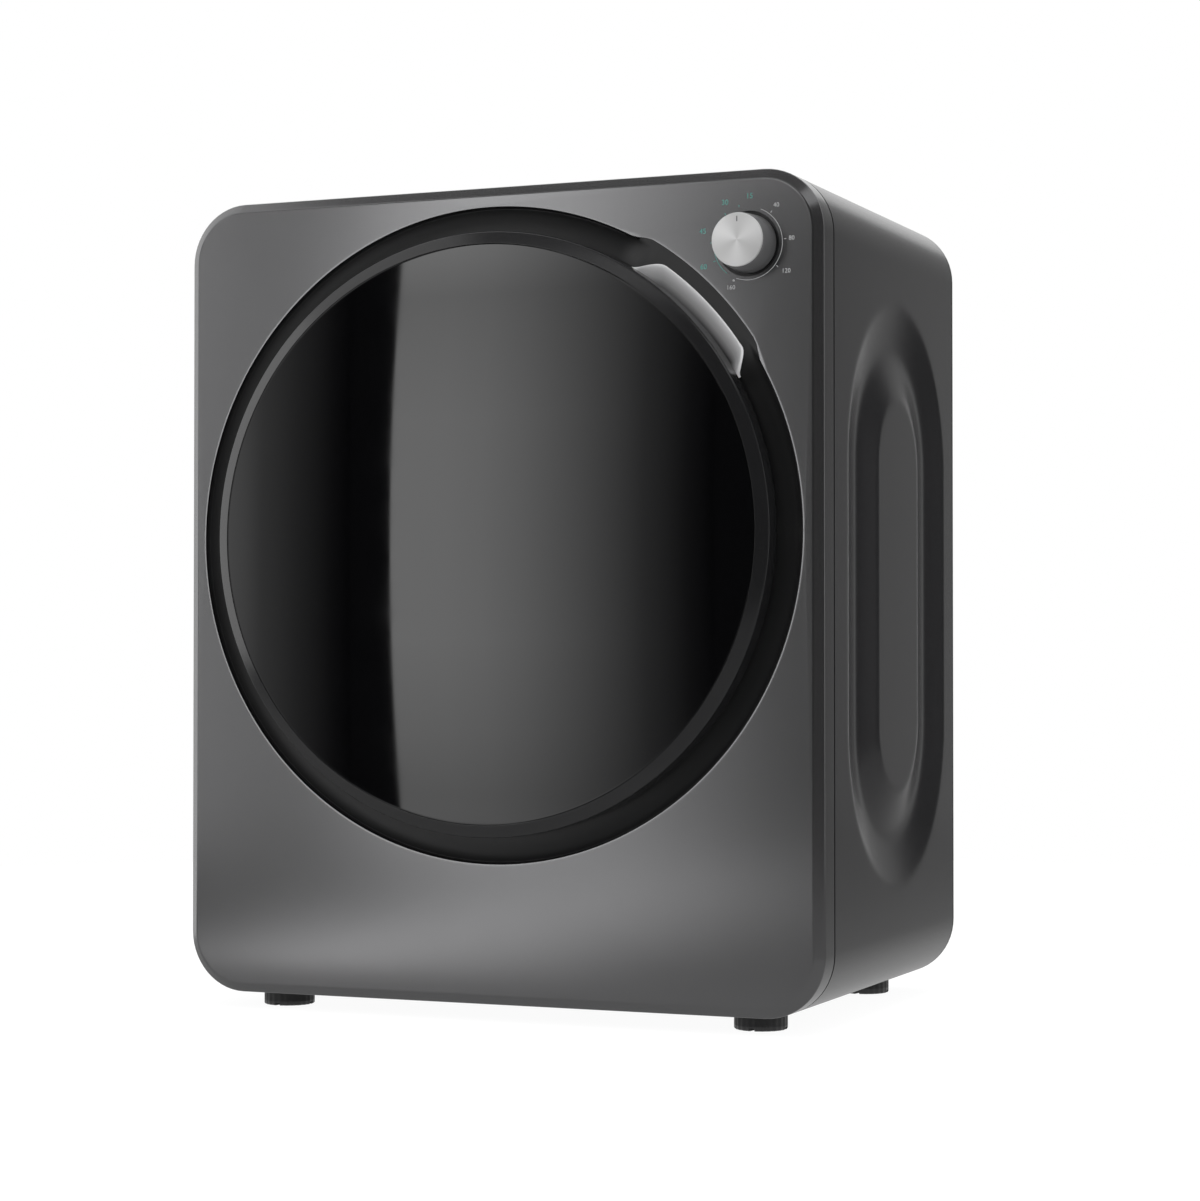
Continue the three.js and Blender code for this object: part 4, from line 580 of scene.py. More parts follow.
# ---- Door surround
# A black moulding set in the opening: a cove down to a floor behind the door, and a collar
# that leads into the drum. It bulges out over the finger scoop and is pocketed to take it.
# A satin mould gives it broad, dim highlights. Its texture is really 0.1 mm, drawn at 0.9 mm.
satin_black = grained(
    "satin_black_abs", {"IOR": 1.53},
    ("1A1A1B", "161617"), (30, 0.9, 0.004), (0.42, 0.5),
)
cove_width, cove_depth, cove_start, cove_points = 19 * mm, 10 * mm, 0.3 * mm, 12
surround_radius, surround_wall = opening_radius - 0.3 * mm, 1.6 * mm
flange_radius, flange_back = 240.4 * mm, 2.3 * mm
mouth_radius, collar_end = 196 * mm, 43 * mm
scoop_out, scoop_in, scoop_floor = 230.2 * mm, 205.2 * mm, 19 * mm
scoop_end, scoop_bed = 216.4 * mm, 207 * mm
scoop_left, scoop_right = 60.5, 29.5
strip_half, strip_ramp = 19, 8
pocket_edge, pocket_inner, pocket_gap = 216.65 * mm, 211 * mm, 0.25 * mm


def cove_at(radius):
    """The depth of the cove behind the front face at a radius."""
    share = held((surround_radius - radius) / cove_width)
    return cove_start + (cove_depth - cove_start) * math.sqrt(1 - (1 - share) ** 2)


def strip_at(radius, angle):
    """The surround's own front, with its flat strip where it bulges over the scoop."""
    share = smooth((strip_half - abs(angle - scoop_middle)) / strip_ramp)
    return cove_start * share + cove_at(radius) * (1 - share)


def scoop_edge(angle):
    """The radius of the scoop's outer edge, drawn in smoothly at both ends."""
    ends = smooth((scoop_left - angle) / 6.5) * smooth((angle - scoop_right) / 4.2)
    return scoop_end + (scoop_out - scoop_end) * ends


def scoop_at(radius, angle):
    """The depth of the scoop's bowl, from its outer edge to its floor, run out at the ends."""
    edge = scoop_edge(angle)
    share = held((edge - radius) / (edge - scoop_bed))
    bowl = scoop_floor * math.sin(share * math.pi / 2) ** 1.25
    ends = smooth((scoop_left + 0.4 - angle) / 7) * smooth((angle - scoop_right + 0.4) / 5.5)
    start = strip_at(edge, angle)
    level = min(strip_at(radius, angle), cove_depth)
    return level + (start + (bowl - start if bowl > start else 0) - level) * ends


def polar_sheet(bm, angles, radii_at, depths_at, closed):
    """A sheet round the door's axis: at each angle a row of points at some radii and depths."""
    rows = []
    for angle in angles:
        turn = math.radians(angle)
        row = []
        for radius, depth in zip(radii_at(angle), depths_at(angle)):
            x, z = axis_x + radius * math.cos(turn), axis_z + radius * math.sin(turn)
            row.append(bm.verts.new((x, front_y + depth, z)))
        for a, b in zip(row, row[1:]):
            bm.edges.new((a, b))
        rows.append(row)
    for a, b in zip(rows, rows[1:] + rows[:1] if closed else rows[1:]):
        edges = [e for row in (a, b) for v in row for e in v.link_edges if e.other_vert(v) in row]
        bmesh.ops.bridge_loops(bm, edges=list(dict.fromkeys(edges)))


def surround_radii(angle):
    """From the flange behind the panel, over the rim and down the cove, to the drum's mouth."""
    share = lobe_share(angle)
    rim = surround_radius + lobe_rise * share
    edge = pocket_edge
    turns = [i / cove_points * math.pi / 2 for i in range(cove_points + 1)]
    strip = [surround_radius - (surround_radius - edge) * (1 - math.cos(turn)) for turn in turns]
    if scoop_right <= angle <= scoop_left:
        edge = scoop_edge(angle) + pocket_gap
        flat = min(share * 4, 1)
        for i, plain in enumerate(strip):
            strip[i] = plain + (rim + (edge - rim) * i / cove_points - plain) * flat
        edge = strip[-1]
    inner = [edge, pocket_inner, scoop_in, scoop_in, mouth_radius, mouth_radius]
    return [max(flange_radius, rim), rim] + strip + inner


def surround_depths(angle):
    strip = surround_radii(angle)[2 : 3 + cove_points]
    pocketed = scoop_right + 0.9 < angle < scoop_left - 0.9
    pocket = scoop_floor + 2.2 * mm if pocketed else cove_depth
    depths = [min(strip_at(radius, angle), cove_depth) for radius in strip]
    inner = [pocket, pocket, pocket, cove_depth, cove_depth, collar_end]
    return [flange_back, flange_back] + depths + inner


bm = bmesh.new()
surround_angles = sorted({i * 1.5 for i in range(240)} | {26 + i * 0.5 for i in range(77)})
polar_sheet(bm, surround_angles, surround_radii, surround_depths, True)
bmesh.ops.remove_doubles(bm, verts=bm.verts, dist=1e-6)
thicken(bm, surround_wall)
settle(
    bm, "coved_door_surround", satin_black, "cabinet", "black_moulding", "door_surround", sharp=38
)


# ---- Finger scoop
# A satin grey moulding clipped into the surround's pocket, dished so that fingers reach the door's
# edge. Its pale grey is mixed to black down in the bowl: painted shade for the shadow under the
# door's edge.
# The texture of the paint is really 0.1 mm, drawn at 0.8 mm so that it shows.
satin_grey = grained(
    "satin_grey_abs", {"IOR": 1.53, "Specular IOR Level": 0.45},
    ("EFEFF0", "E9E9EA"), (30, 0.8, 0.003), (0.3, 0.36),
)
tree = satin_grey.node_tree
shader = tree.nodes["Principled BSDF"]
paint = shader.inputs["Base Color"].links[0].from_socket
# Painted shade: the share below darkens the grey towards black deeper in the bowl, where the door's
# edge shades it.
sunk = add(tree, "Attribute", attribute_name="sunk").outputs["Fac"]
fade = graded(tree, sunk, [(0, 0), (0.56, 0.02), (0.76, 0.4), (0.93, 0.95), (1, 1)])
shades = {0: fade, 6: paint, 7: linear("1B1B1C")}
shade = add(tree, "Mix", shades, data_type="RGBA")
tree.links.new(shade.outputs[2], shader.inputs["Base Color"])
painted_shade_width, scoop_wall, scoop_columns, scoop_rows = 19 * mm, 1.2 * mm, 90, 16


def scoop_radii(angle):
    edge = scoop_edge(angle)
    turns = [i / scoop_rows * math.pi / 2 for i in range(scoop_rows + 1)]
    bowl = [edge + (scoop_bed - edge) * (1 - math.cos(turn)) for turn in turns]
    return bowl + [206.7 * mm, 205.5 * mm]


def scoop_depths(angle):
    bowl = scoop_radii(angle)[: scoop_rows + 1]
    return [scoop_at(radius, angle) for radius in bowl] + [cove_depth, cove_depth]


bm = bmesh.new()
scoop_span = scoop_left - scoop_right - 0.4
scoop_angles = [
    scoop_right + 0.2 + i * scoop_span / scoop_columns for i in range(scoop_columns + 1)
]
polar_sheet(bm, scoop_angles, scoop_radii, scoop_depths, False)
# Each point's share of the painted shade grows with its depth below the scoop's outer edge.
share = bm.verts.layers.float.new("sunk")
for vert in bm.verts:
    across, up = vert.co.x - axis_x, vert.co.z - axis_z
    edge = scoop_edge(math.degrees(math.atan2(up, across)))
    down = edge * 0.5 + scoop_out * 0.5 - math.hypot(across, up)
    vert[share] = min(down / painted_shade_width, 1)
bmesh.ops.remove_doubles(bm, verts=bm.verts, dist=1e-6)
thicken(bm, scoop_wall)
settle(
    bm, "dished_finger_scoop", satin_grey, "cabinet", "scoop_moulding", "finger_scoop", sharp=50
)


# ---- Door ring
# The black outer frame of the door, moulded in one piece with a sloped band round the glass.
# It is notched at the left, behind the band, for the hinge.
# A polished mould gives a deep black with tight reflections, rippled a little every 3 mm.
gloss_black = grained(
    "gloss_black_abs", {"IOR": 1.53},
    ("1B1B1C", "171718"), (30, 3, 0.0006), (0.16, 0.21),
)


def turned(profile, steps=192, x=axis_x, y=front_y, z=axis_z):
    """Spins (radius, depth) points round an axis from front to back; some have a rounding in mm."""
    bm = bmesh.new()
    corners = [bm.verts.new((x + point[0], y + point[1], z)) for point in profile]
    bm.faces.new(corners)
    for vert, point in zip(corners, profile):
        for rounding in point[2:]:
            rounded(bm, [vert], rounding * mm, 4)
    bmesh.ops.delete(bm, geom=bm.faces[:], context="FACES_ONLY")
    swept = bm.verts[:] + bm.edges[:]
    about = {"cent": (x, 0, z), "axis": (0, 1, 0), "angle": math.tau}
    bmesh.ops.spin(bm, geom=swept, **about, steps=steps, use_merge=True)
    return bm


ring_back, ring_edge, ring_front = 2 * mm, -14 * mm, -18 * mm
ring_wall, ledge = 3 * mm, 8 * mm
glass_radius, glass_gap = 207 * mm, 0.3 * mm
notch_top = -9 * mm
profile = [
    (door_radius, ring_back, 0.6), (door_radius - ring_wall, ring_back, 0.6),
    (door_radius - ring_wall, notch_top),
    (door_radius - ring_wall, ring_edge + ring_wall),
    (glass_radius - ledge, ring_edge + ring_wall, 0.6),
    (glass_radius - ledge, ring_edge), (glass_radius + glass_gap, ring_edge),
    (glass_radius + glass_gap, ring_front, 0.4), (door_radius, ring_edge, 1.4),
    (door_radius, notch_top),
]
bm = turned(profile, 256)
notch_reach, notch_half = axis_x - door_radius + 14 * mm, 33 * mm
notch = []
for face in bm.faces:
    at = face.calc_center_median()
    beside = at.x < notch_reach and abs(at.z - axis_z) < notch_half
    if beside and at.y > front_y + notch_top:
        notch.append(face)
bmesh.ops.delete(bm, geom=notch, context="FACES")
split_radius = door_radius - ring_wall / 2


def outside(vert):
    return math.hypot(vert.co.x - axis_x, vert.co.z - axis_z) > split_radius


# The notch's cut edges are closed again across the wall.
cut_edges = [e for e in bm.edges if e.is_boundary and outside(e.verts[0]) == outside(e.verts[1])]
bmesh.ops.bridge_loops(bm, edges=cut_edges)
settle(bm, "door_band", gloss_black, "door", "black_moulding", "door_ring", even=True)


# ---- Door glass
# A slightly crowned disc of smoked tempered glass, held in the ring with its rounded rim proud.
# It is so dark that it reads as black, and its smooth face gives clean reflections.
smoked_glass = grained(
    "smoked_tempered_glass", {"IOR": 1.52},
    ("050506", "040405"), (120, 30, 0.00005), (0.02, 0.032),
)
crown, glass_back, rim_share = 2 * mm, -14.3 * mm, 0.9955
shares = [i / 14 for i in range(14)] + [rim_share]
profile = [(glass_radius * share, ring_front - crown * (1 - share**2)) for share in shares]
profile += [(glass_radius, ring_front, 0.5), (glass_radius, glass_back), (0, glass_back)]
settle(
    turned(profile, 256), "crowned_door_glass", smoked_glass, "door", "smoked_glass", "door_glass"
)


# ---- Door liner, inner window, seal and latch
# Behind the glass a grey polypropylene liner plugs the mouth, with a clear-tinted inner window,
# a soft grey seal that meets the surround, and a nylon hook that snaps into the catch.
# Moulded polypropylene is a waxy mid grey with a fine grain.
liner_plastic = grained(
    "moulded_polypropylene", {"IOR": 1.49, "Specular IOR Level": 0.4},
    ("5E6063", "57595C"), (30, 0.9, 0.02), (0.42, 0.55),
)
liner_radius, liner_front, liner_back = door_radius - 3.3 * mm, -1 * mm, 1.5 * mm
plug_radius, plug_end = 190.5 * mm, 30 * mm
wall = 2.5 * mm
profile = [
    (liner_radius, liner_front), (liner_radius, liner_back, 0.5),
    (plug_radius, liner_back, 0.9), (plug_radius, plug_end, 1.2),
    (plug_radius - 2 * wall, plug_end, 0.6),
    (plug_radius - 2 * wall, plug_end - wall, 0.4),
    (plug_radius - wall, plug_end - wall, 0.4), (plug_radius - wall, liner_front, 0.6),
]
bm = turned(profile, 256)
settle(bm, "door_plug_liner", liner_plastic, "door", "grey_moulding", "door_liner")
# Tinted glass lets the drum show faintly when the door is open.
inner_window = grained(
    "tinted_inner_window", {"IOR": 1.52, "Transmission Weight": 0.55},
    ("2A2C2E", "242628"), (100, 12, 0.0004), (0.04, 0.06),
)
low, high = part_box("door_inner_window")
pane_radius, pane_front, pane_back = high.x - axis_x, low.y - front_y, high.y - front_y
profile = [(0, pane_front), (pane_radius, pane_front, 0.5)]
profile += [(pane_radius, pane_back, 0.5), (0, pane_back)]
bm = turned(profile)
settle(bm, "door_inner_pane", inner_window, "door", "smoked_glass", "door_inner_window")
# Silicone has a dusty, almost shineless grey.
seal_rubber = grained(
    "soft_silicone_seal", {"IOR": 1.43, "Specular IOR Level": 0.35},
    ("3A3A3B", "323233"), (20, 0.6, 0.015), (0.5, 0.62),
)
low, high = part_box("door_seal")
seal_in, seal_out = high.x - axis_x - 6 * mm, high.x - axis_x
seal_front, seal_end = low.y - front_y, high.y - front_y
profile = [
    (seal_in, seal_front), (seal_out, seal_front, 0.6),
    (seal_out - 0.2 * mm, seal_front + 2.6 * mm, 0.5),
    (seal_out - 1.8 * mm, seal_front + 3.4 * mm, 0.5),
    (seal_out, seal_end - 1.6 * mm, 0.6), (seal_out - 1.6 * mm, seal_end, 0.8),
    (seal_in + 1.2 * mm, seal_end - 0.8 * mm, 0.6), (seal_in, seal_front + 3 * mm, 0.6),
]
settle(turned(profile), "door_lip_seal", seal_rubber, "door", "rubber", "door_seal")
# Nylon is a warm, slightly waxy white.
white_nylon = grained(
    "moulded_white_nylon", {"IOR": 1.53, "Specular IOR Level": 0.45},
    ("DEDBD2", "D3D0C6"), (20, 0.7, 0.015), (0.36, 0.48),
)
dress(white_nylon, "latch_hook", "switch_plunger", "terminal_block")
dress(gloss_black, "latch_catch", "door_switch", "timer_unit")
# Ground steel is bright, with fine lines round the shafts. They are drawn at 0.25 mm.
bright_steel = grained(
    "ground_steel", {"Metallic": 1},
    ("C4C5C6", "B4B5B7"), (10, 0.25, 0.003), (0.2, 0.3), (1, 8, 1),
)
dress(bright_steel, "hinge_pin", "drum_shaft", "fan_shaft", "motor_shaft", "timer_shaft")
dress(bright_steel, "drum_bearing")


# ---- Drum front bearing
# A ring of pressed wool felt, glued on the surround's collar, where the drum's front lip slides.
# Its fibres mat into an uneven, shineless cream.
felt = grained(
    "pressed_wool_felt", {"IOR": 1.5, "Specular IOR Level": 0.15},
    ("CFC9BB", "B9B2A2"), (6, 0.35, 0.12), (0.9, 0.98),
)
low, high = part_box("drum_slide_ring")
felt_in, felt_start, felt_end = high.x - 4.4 * mm, low.y - front_y, high.y - front_y
profile = [
    (felt_in, felt_start, 0.5), (high.x, felt_start, 0.9),
    (high.x, felt_end, 0.9), (felt_in, felt_end, 0.5),
]
settle(turned(profile), "felt_slide_ring", felt, "cabinet", "felt", "drum_slide_ring")


# ---- Drum
# A rolled and beaded stainless shell with a drawn front lip, a back pierced with round vents, and
# three hollow lifters screwed to the shell.
# It is brushed round its girth, which stretches reflections across it. Lines are drawn at 0.1 mm.
brushed = grained(
    "brushed_stainless", {"Metallic": 1},
    ("C6C8CA", "B8BABD"), (30, 0.6, 0.006), (0.26, 0.36), (0.35, 6, 0.35),
)
shell_low, shell_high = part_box("drum_shell")
drum_radius = shell_high.x - axis_x
drum_start, drum_end = shell_low.y - front_y, shell_high.y - front_y
lip_radius, drum_wall, sheet = 203.8 * mm, 45 * mm, 1 * mm
profile = [
    (lip_radius, drum_start), (lip_radius + sheet, drum_start),
    (lip_radius + sheet, drum_wall - sheet, 1.5), (drum_radius, drum_wall - sheet, 4),
    (drum_radius, drum_end), (drum_radius - sheet, drum_end),
    (drum_radius - sheet, drum_wall, 3), (lip_radius, drum_wall, 2.5),
]
settle(turned(profile), "rolled_drum_shell", brushed, "drum", "stainless", "drum_shell")
low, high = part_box("drum_back")
bm = bmesh.new()
shaft_hole = 8.3 * mm
edges = loop(bm, high.x - axis_x, (axis_x, low.y, axis_z), 192)[1]
edges += loop(bm, shaft_hole, (axis_x, low.y, axis_z), 32)[1]
for count, circle, radius in ((8, 72 * mm, 13 * mm), (12, 182 * mm, 12 * mm)):
    for i in range(count):
        turn = math.tau * i / count
        place = (axis_x + circle * math.cos(turn), low.y, axis_z + circle * math.sin(turn))
        edges += loop(bm, radius, place, 32)[1]
bmesh.ops.triangle_fill(bm, use_beauty=True, edges=edges)
thicken(bm, high.y - low.y)
shift = low.y - min(v.co.y for v in bm.verts)
position(bm, bm.verts, place=(0, shift, 0))
settle(bm, "pierced_drum_back", brushed, "drum", "stainless", "drum_back", even=True)
dress(liner_plastic, "drum_lifter_1", "drum_lifter_2", "drum_lifter_3", "lint_filter_cover")
dress(liner_plastic, "run_capacitor")
# Woven wire: bright crossings over dark holes, at the mesh's own 0.6 mm.
screen = grained(
    "woven_steel_screen", {"Metallic": 1},
    ("A4A6A8", "4A4B4D"), (1.2, 0.6, 0.2), (0.4, 0.6),
)
dress(screen, "lint_filter_screen")


# ---- Fan, heater and motor
# A moulded fan wheel, a ceramic heater block with a small cut-out, and an enamelled motor whose
# steel pulleys drive ribbed rubber belts.
# Unglazed ceramic is chalky and warm.
ceramic = grained(
    "heater_ceramic", {"IOR": 1.6, "Specular IOR Level": 0.4},
    ("D9D2C4", "C6BDAC"), (15, 0.6, 0.03), (0.6, 0.75),
)
# Dipped enamel is a dull blue with a slight ripple.
motor_enamel = grained(
    "motor_enamel", {"IOR": 1.5, "Metallic": 0.1},
    ("2F4158", "28384D"), (30, 0.9, 0.02), (0.4, 0.52),
)
dress(gloss_black, "fan_wheel")
dress(ceramic, "heater_element")
dress(white_nylon, "thermal_cutout")
dress(motor_enamel, "drive_motor")
dress(bright_steel, "drum_drive_pulley", "fan_drive_pulley")
dress(rubber, "drum_belt", "fan_belt")


# ---- Rear cover, exhaust collar and intake grille
# Black polypropylene mouldings on the back: the fan cover with a 100 mm hose collar, and the
# slotted grille that lets air to the heater. Small screws hold them.
# Their spark-eroded grain gives a dry, even black.
black_pp = grained(
    "grained_black_polypropylene", {"IOR": 1.49, "Specular IOR Level": 0.4},
    ("232325", "1C1C1E"), (30, 0.8, 0.035), (0.45, 0.58),
)
collar_low, collar_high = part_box("exhaust_collar")
collar_x, _, collar_z = middle_of(collar_low, collar_high)
collar_bore, collar_out, collar_flange = 47.5 * mm, 50 * mm, 56 * mm
cover_bevel, cover_corner, cover_fold, cover_wall = (4 * mm, 3 * mm), 60 * mm, 1.2 * mm, 2.5 * mm
bm = bmesh.new()
inner_low = Vector((cover_low.x, -cover_high.y, cover_low.z))
inner_high = Vector((cover_high.x, -cover_low.y, cover_high.z))
top = pan(bm, inner_low, inner_high, cover_corner, cover_bevel, cover_fold)
pierce(bm, top, [loop(bm, collar_bore, (collar_x, inner_low.y, collar_z), 96)[1]])
thicken(bm, cover_wall)
position(bm, bm.verts, (1, -1, 1))
settle(bm, "moulded_rear_cover", black_pp, "cabinet", "black_moulding", "rear_cover", even=True)
collar_length = collar_high.y - collar_low.y
profile = [
    (collar_bore, 0), (collar_flange, 0, 0.4),
    (collar_flange, 2 * mm, 0.7), (collar_out, 2 * mm, 0.6),
    (collar_out, 5.5 * mm), (collar_out, collar_length, 1),
    (collar_bore, collar_length, 0.6),
]
bm = turned(profile, 128, collar_x, collar_low.y, collar_z)
settle(bm, "exhaust_hose_collar", black_pp, "cabinet", "black_moulding", "exhaust_collar")
dress(black_pp, "intake_grille")
# Zinc-plated screws are a little darker than the sheet, and bright at their edges.
zinc_screw = grained(
    "zinc_plated_screw", {"Metallic": 1},
    ("8E9194", "7F8285"), (4, 0.3, 0.004), (0.28, 0.4),
)
head_radius, recess, recess_wall = 4.2 * mm, 1.1 * mm, 1.1 * mm
head_steps = ((0.9 * mm, 0), (0.7 * mm, 0.5 * mm), (0.4 * mm, 0.9 * mm))


def screw_head(place):
    """A domed screw head with a sunk drive recess, standing on a face that looks backwards."""
    bm = bmesh.new()
    bmesh.ops.create_circle(bm, cap_ends=True, radius=head_radius, segments=32)
    foot = face = bm.faces[:]
    for height, inset in head_steps:
        grown = bmesh.ops.extrude_face_region(bm, geom=face)["geom"]
        if face is not foot:
            bmesh.ops.delete(bm, geom=face, context="FACES_ONLY")
        face = sorted_out(grown)[2]
        fresh = face[0].verts[:]
        size = fresh[0].co.xy.length
        share = (size - inset) / size
        position(bm, fresh, (share, share, 1), place=(0, 0, height))
    bmesh.ops.inset_region(bm, faces=face, thickness=recess_wall)
    position(bm, face[0].verts[:], (0.5, 0.5, 1), place=(0, 0, -recess))
    position(bm, bm.verts, turn=Euler(facing["back"]).to_matrix(), place=place)
    bmesh.ops.recalc_face_normals(bm, faces=bm.faces)
    return bm


# Three screws hold the cover, in the corners that the collar leaves free, and six the rear panel.
margin, side_margin = 26 * mm, 22 * mm
screws = [
    (cover_low.x + margin, cover_high.y, cover_low.z + margin),
    (cover_high.x - margin, cover_high.y, cover_low.z + margin),
    (cover_low.x + margin, cover_high.y, cover_high.z - margin),
]
rear_height = rear_high.z - rear_low.z
screws += [
    (side * (rear_high.x - side_margin), rear_high.y, rear_low.z + rise)
    for side in (-1, 1)
    for rise in (margin, rear_height / 2, rear_height - margin)
]
for count, place in enumerate(screws):
    settle(screw_head(place), f"rear_screw_{count + 1}", zinc_screw, "cabinet", "zinc_steel")


# ---- Timer knob
# A black moulded skirt that tapers a little, pushed on the timer's shaft, with a turned aluminium
# face pressed into its front. A short line on the face points at the dial.
# The skirt's satin charcoal lifts it off the panel. Its texture is really 0.1 mm, drawn at 0.5 mm.
knob_black = grained(
    "satin_charcoal_abs", {"IOR": 1.53},
    ("5A5A5B", "555556"), (10, 0.5, 0.003), (0.3, 0.36),
)
face_low, face_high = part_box("knob_face")
skirt_foot, skirt_front = knob_high.y - front_y, knob_low.y - front_y
knob_radius, knob_top, knob_web = (knob_high.x - knob_low.x) / 2, 19 * mm, 3 * mm
bore, hub = 3.3 * mm, 6 * mm
profile = [
    (bore, skirt_foot), (hub, skirt_foot),
    (hub, skirt_front + knob_web), (knob_radius - 4.5 * mm, skirt_front + knob_web),
    (knob_radius - knob_web, skirt_foot), (knob_radius, skirt_foot, 0.5),
    (knob_top, skirt_front, 0.8), (bore, skirt_front),
]
bm = turned(profile, 96, x=knob_x, z=knob_z)
settle(bm, "timer_knob_skirt", knob_black, "timer_knob", "black_moulding", "timer_knob")
# A lathe leaves rings that spread the light along them. Their sheen of pale and dark sectors, three
# of each, is also painted into the face's colour as a painted highlight.
# The rings are really 0.1 mm apart, drawn at 2 mm.
ring_pitch, sheen_wedges = 2 * mm, 3
made, tree, shader, place = surface(
    "turned_aluminium", {"Metallic": 0.55, "Roughness": 0.45, "Anisotropic": 0.4}
)
tangent = add(tree, "Tangent", direction_type="RADIAL", axis="Y")
tree.links.new(tangent.outputs[0], shader.inputs["Tangent"])
centre = {"Vector": place, "Location": (-knob_x, 0, -knob_z)}
centred = add(tree, "Mapping", centre).outputs[0]
rings = {"Vector": centred, "Scale": 1 / ring_pitch, "Distortion": 0.4, "Detail": 2}
rings = add(tree, "TexWave", rings, wave_type="RINGS", rings_direction="Y")
flat = {"Vector": centred, "Rotation": (math.pi / 2, 0, 0)}
tipped = add(tree, "Mapping", flat).outputs[0]
# Painted highlight: the colour swings between pale and dark with the angle round the knob's centre.
sector = add(tree, "TexGradient", {"Vector": tipped}, gradient_type="RADIAL")
turns = {0: sector.outputs[1], 1: sheen_wedges * math.tau}
swing = add(tree, "Math", turns, operation="MULTIPLY")
painted_sheen = add(tree, "Math", {0: swing.outputs[0]}, operation="SINE")
share = add(tree, "MapRange", {"Value": painted_sheen.outputs[0], "From Min": -1, "From Max": 1})
shades = {0: share.outputs[0], 6: linear("BDBDBD"), 7: linear("D4D4D4")}
tint = add(tree, "Mix", shades, data_type="RGBA")
tree.links.new(tint.outputs[2], shader.inputs["Base Color"])
bump = add(tree, "Bump", {"Height": rings.outputs[1], "Distance": 0.002 * mm, "Strength": 1})
tree.links.new(bump.outputs[0], shader.inputs["Normal"])
face_radius, face_back = (face_high.x - face_low.x) / 2, face_high.y - front_y
face_front = face_low.y - front_y + 0.05 * mm
profile = [(0, face_back), (face_radius, face_back)]
profile += [(face_radius, face_front, 0.6), (0, face_front)]
bm = turned(profile, 128, x=knob_x, z=knob_z)
settle(bm, "turned_knob_face", made, "timer_knob", "spun_aluminium", "knob_face")
line_size, line_depth, line_in = (0.9 * mm, 0.3 * mm, 3.8 * mm), 0.16 * mm, 4.3 * mm
bm = bmesh.new()
bmesh.ops.create_cube(bm, size=1)
place = (knob_x, face_low.y + line_depth, knob_z + face_radius - line_in)
position(bm, bm.verts, line_size, place=place)
rounded(bm, bm.edges[:], 0.1 * mm, 2, "EDGES")
settle(bm, "knob_pointer_line", knob_black, "timer_knob", "black_moulding")


# ---- Dial print
# Screen-printed minutes and marks round the knob: a pale arc for warm air and a teal one for cool.
# Ink is flat and matt. The screen's mesh is really 0.1 mm, drawn at 0.3 mm.
def ink(name, colour):
    dull = {"IOR": 1.5, "Specular IOR Level": 0.3}
    return grained(name, dull, (colour, colour), (20, 0.3, 0.003), (0.5, 0.6))


pale_ink, teal_ink = ink("pale_grey_screen_ink", "AEAFB0"), ink("teal_screen_ink", "52968D")
ink_height = 0.06 * mm


def arc(bm, inner, outer, start, end):
    """A flat arc about the knob, between two angles in degrees clockwise from the top."""
    steps = max(int(abs(end - start) / 3), 1)
    first = [bm.verts.new((knob_x, front_y, knob_z + radius)) for radius in (inner, outer)]
    edge = bm.edges.new(first)
    turn = Matrix.Rotation(math.radians(start), 3, "Y")
    bmesh.ops.rotate(bm, cent=(knob_x, 0, knob_z), matrix=turn, verts=first)
    about = {"cent": (knob_x, 0, knob_z), "axis": (0, 1, 0), "angle": math.radians(end - start)}
    bmesh.ops.spin(bm, geom=first + [edge], **about, steps=steps)


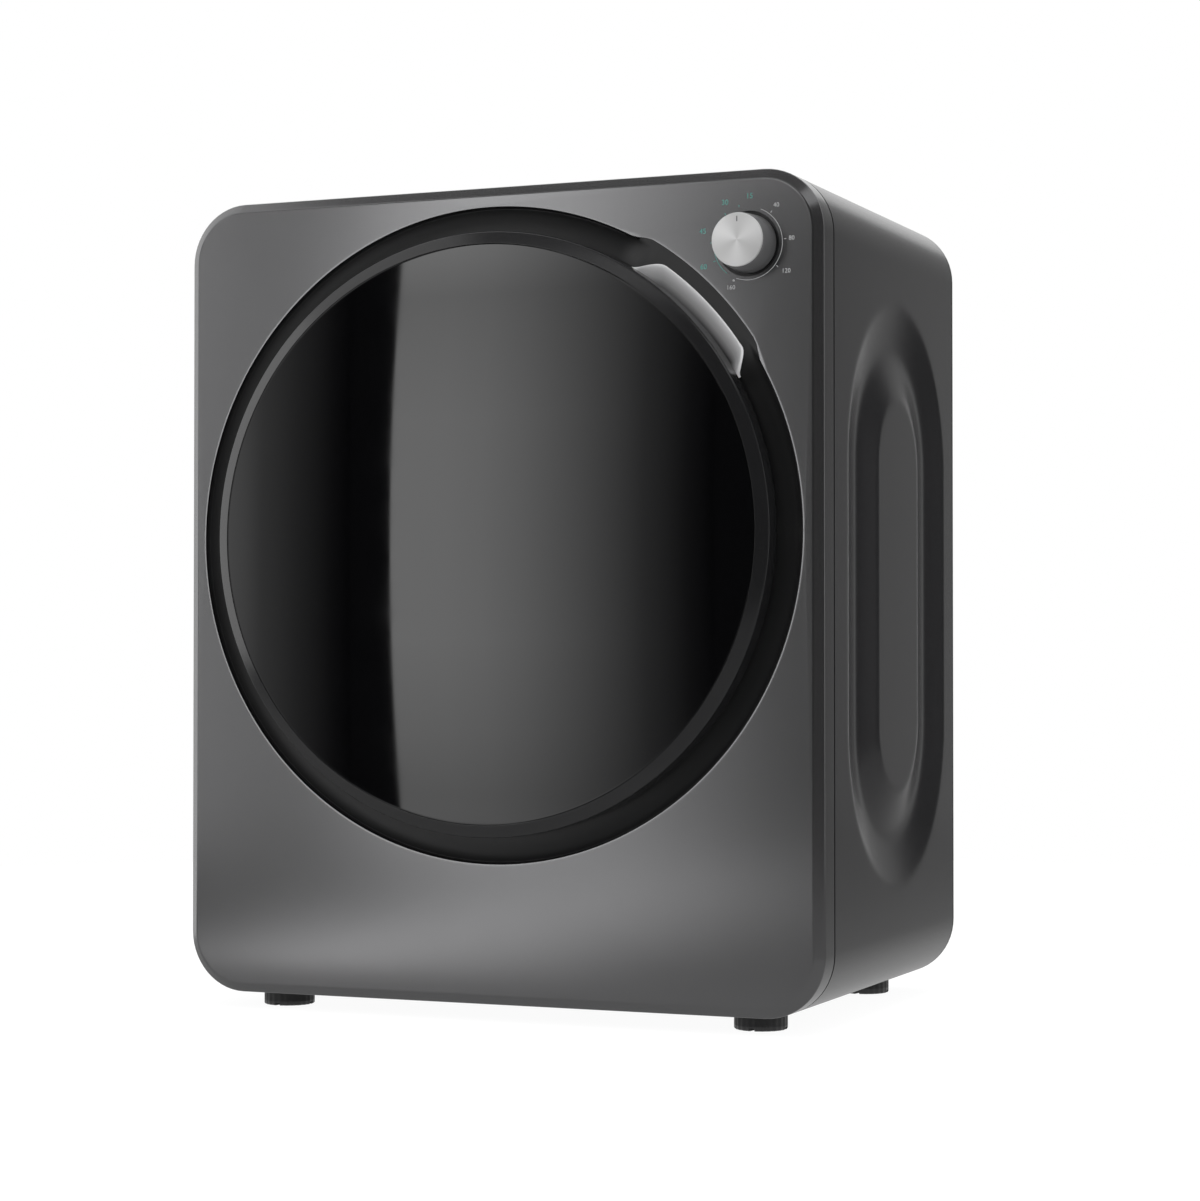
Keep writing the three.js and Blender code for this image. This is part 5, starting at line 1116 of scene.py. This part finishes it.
def number(bm, text, size, clockwise, radius):
    """A printed number centred at an angle clockwise from the top."""
    curve = bpy.data.curves.new(text, "FONT")
    curve.body, curve.size, curve.align_x, curve.align_y = text, size, "CENTER", "CENTER"
    curve.resolution_u = 4
    lettering = bpy.data.objects.new(text, curve)
    scene.collection.objects.link(lettering)
    bpy.context.view_layer.update()
    evaluated = lettering.evaluated_get(bpy.context.evaluated_depsgraph_get())
    flat = bpy.data.meshes.new_from_object(evaluated)
    before = set(bm.verts)
    bm.from_mesh(flat)
    fresh = [v for v in bm.verts if v not in before]
    turn = math.radians(clockwise)
    place = (knob_x + radius * math.sin(turn), front_y, knob_z + radius * math.cos(turn))
    position(bm, fresh, turn=look_forwards, place=place)
    bpy.data.objects.remove(lettering)
    bpy.data.meshes.remove(flat)


def printed(name, finish, span, ticks, size, numbers):
    """Prints an arc, its ticks and its (minutes, angle, radius in mm) numbers on the panel."""
    bm = bmesh.new()
    arc(bm, 25 * mm, 25.4 * mm, *span)
    for inner, outer, half, angles in ticks:
        for clockwise in angles:
            arc(bm, inner * mm, outer * mm, clockwise - half, clockwise + half)
    for text, clockwise, radius in numbers:
        number(bm, text, size, clockwise, radius * mm)
    raised = bmesh.ops.extrude_face_region(bm, geom=bm.faces[:])["geom"]
    position(bm, sorted_out(raised)[0], place=(0, -ink_height, 0))
    settle(bm, name, finish, "cabinet", "metallic_panel")


printed(
    "dial_minutes_print",
    pale_ink,
    (22, 200),
    ((26.4, 28, 0.5, (39, 86, 128)), (26.6, 27.9, 1.5, (203,))),
    4.4 * mm,
    (("40", 39, 33), ("80", 86, 32), ("120", 126, 34.5), ("160", 203, 32.5)),
)
printed(
    "dial_cool_print",
    teal_ink,
    (218, 292),
    ((26.4, 28, 0.5, (246, 274, 322, 346)),),
    5.2 * mm,
    (("60", 246, 36), ("45", 287, 35), ("30", 330, 34), ("15", 2, 33)),
)


# ---- Mains entry
# A black nylon gland, snapped into its hole in the rear panel, where the mains lead comes in.
# The lead itself isn't part of this machine's model.
gland_bore, gland_neck, gland_flange, gland_nose = 4.5 * mm, 9 * mm, 13 * mm, 9.5 * mm
gland_in, flange_edge, nose_end = -14 * mm, 2.2 * mm, 4 * mm
profile = [
    (gland_bore, gland_in, 0.4), (gland_neck, gland_in, 0.8),
    (gland_neck, 0), (gland_flange, 0, 0.4),
    (gland_flange, flange_edge, 0.8), (gland_nose, nose_end, 0.8),
    (gland_bore, nose_end, 0.6),
]
bm = turned(profile, 64, gland_x, gland_high.y - nose_end, gland_z)
settle(bm, "mains_gland", black_pp, "cabinet", "black_moulding", "cord_inlet")

bpy.context.view_layer.update()
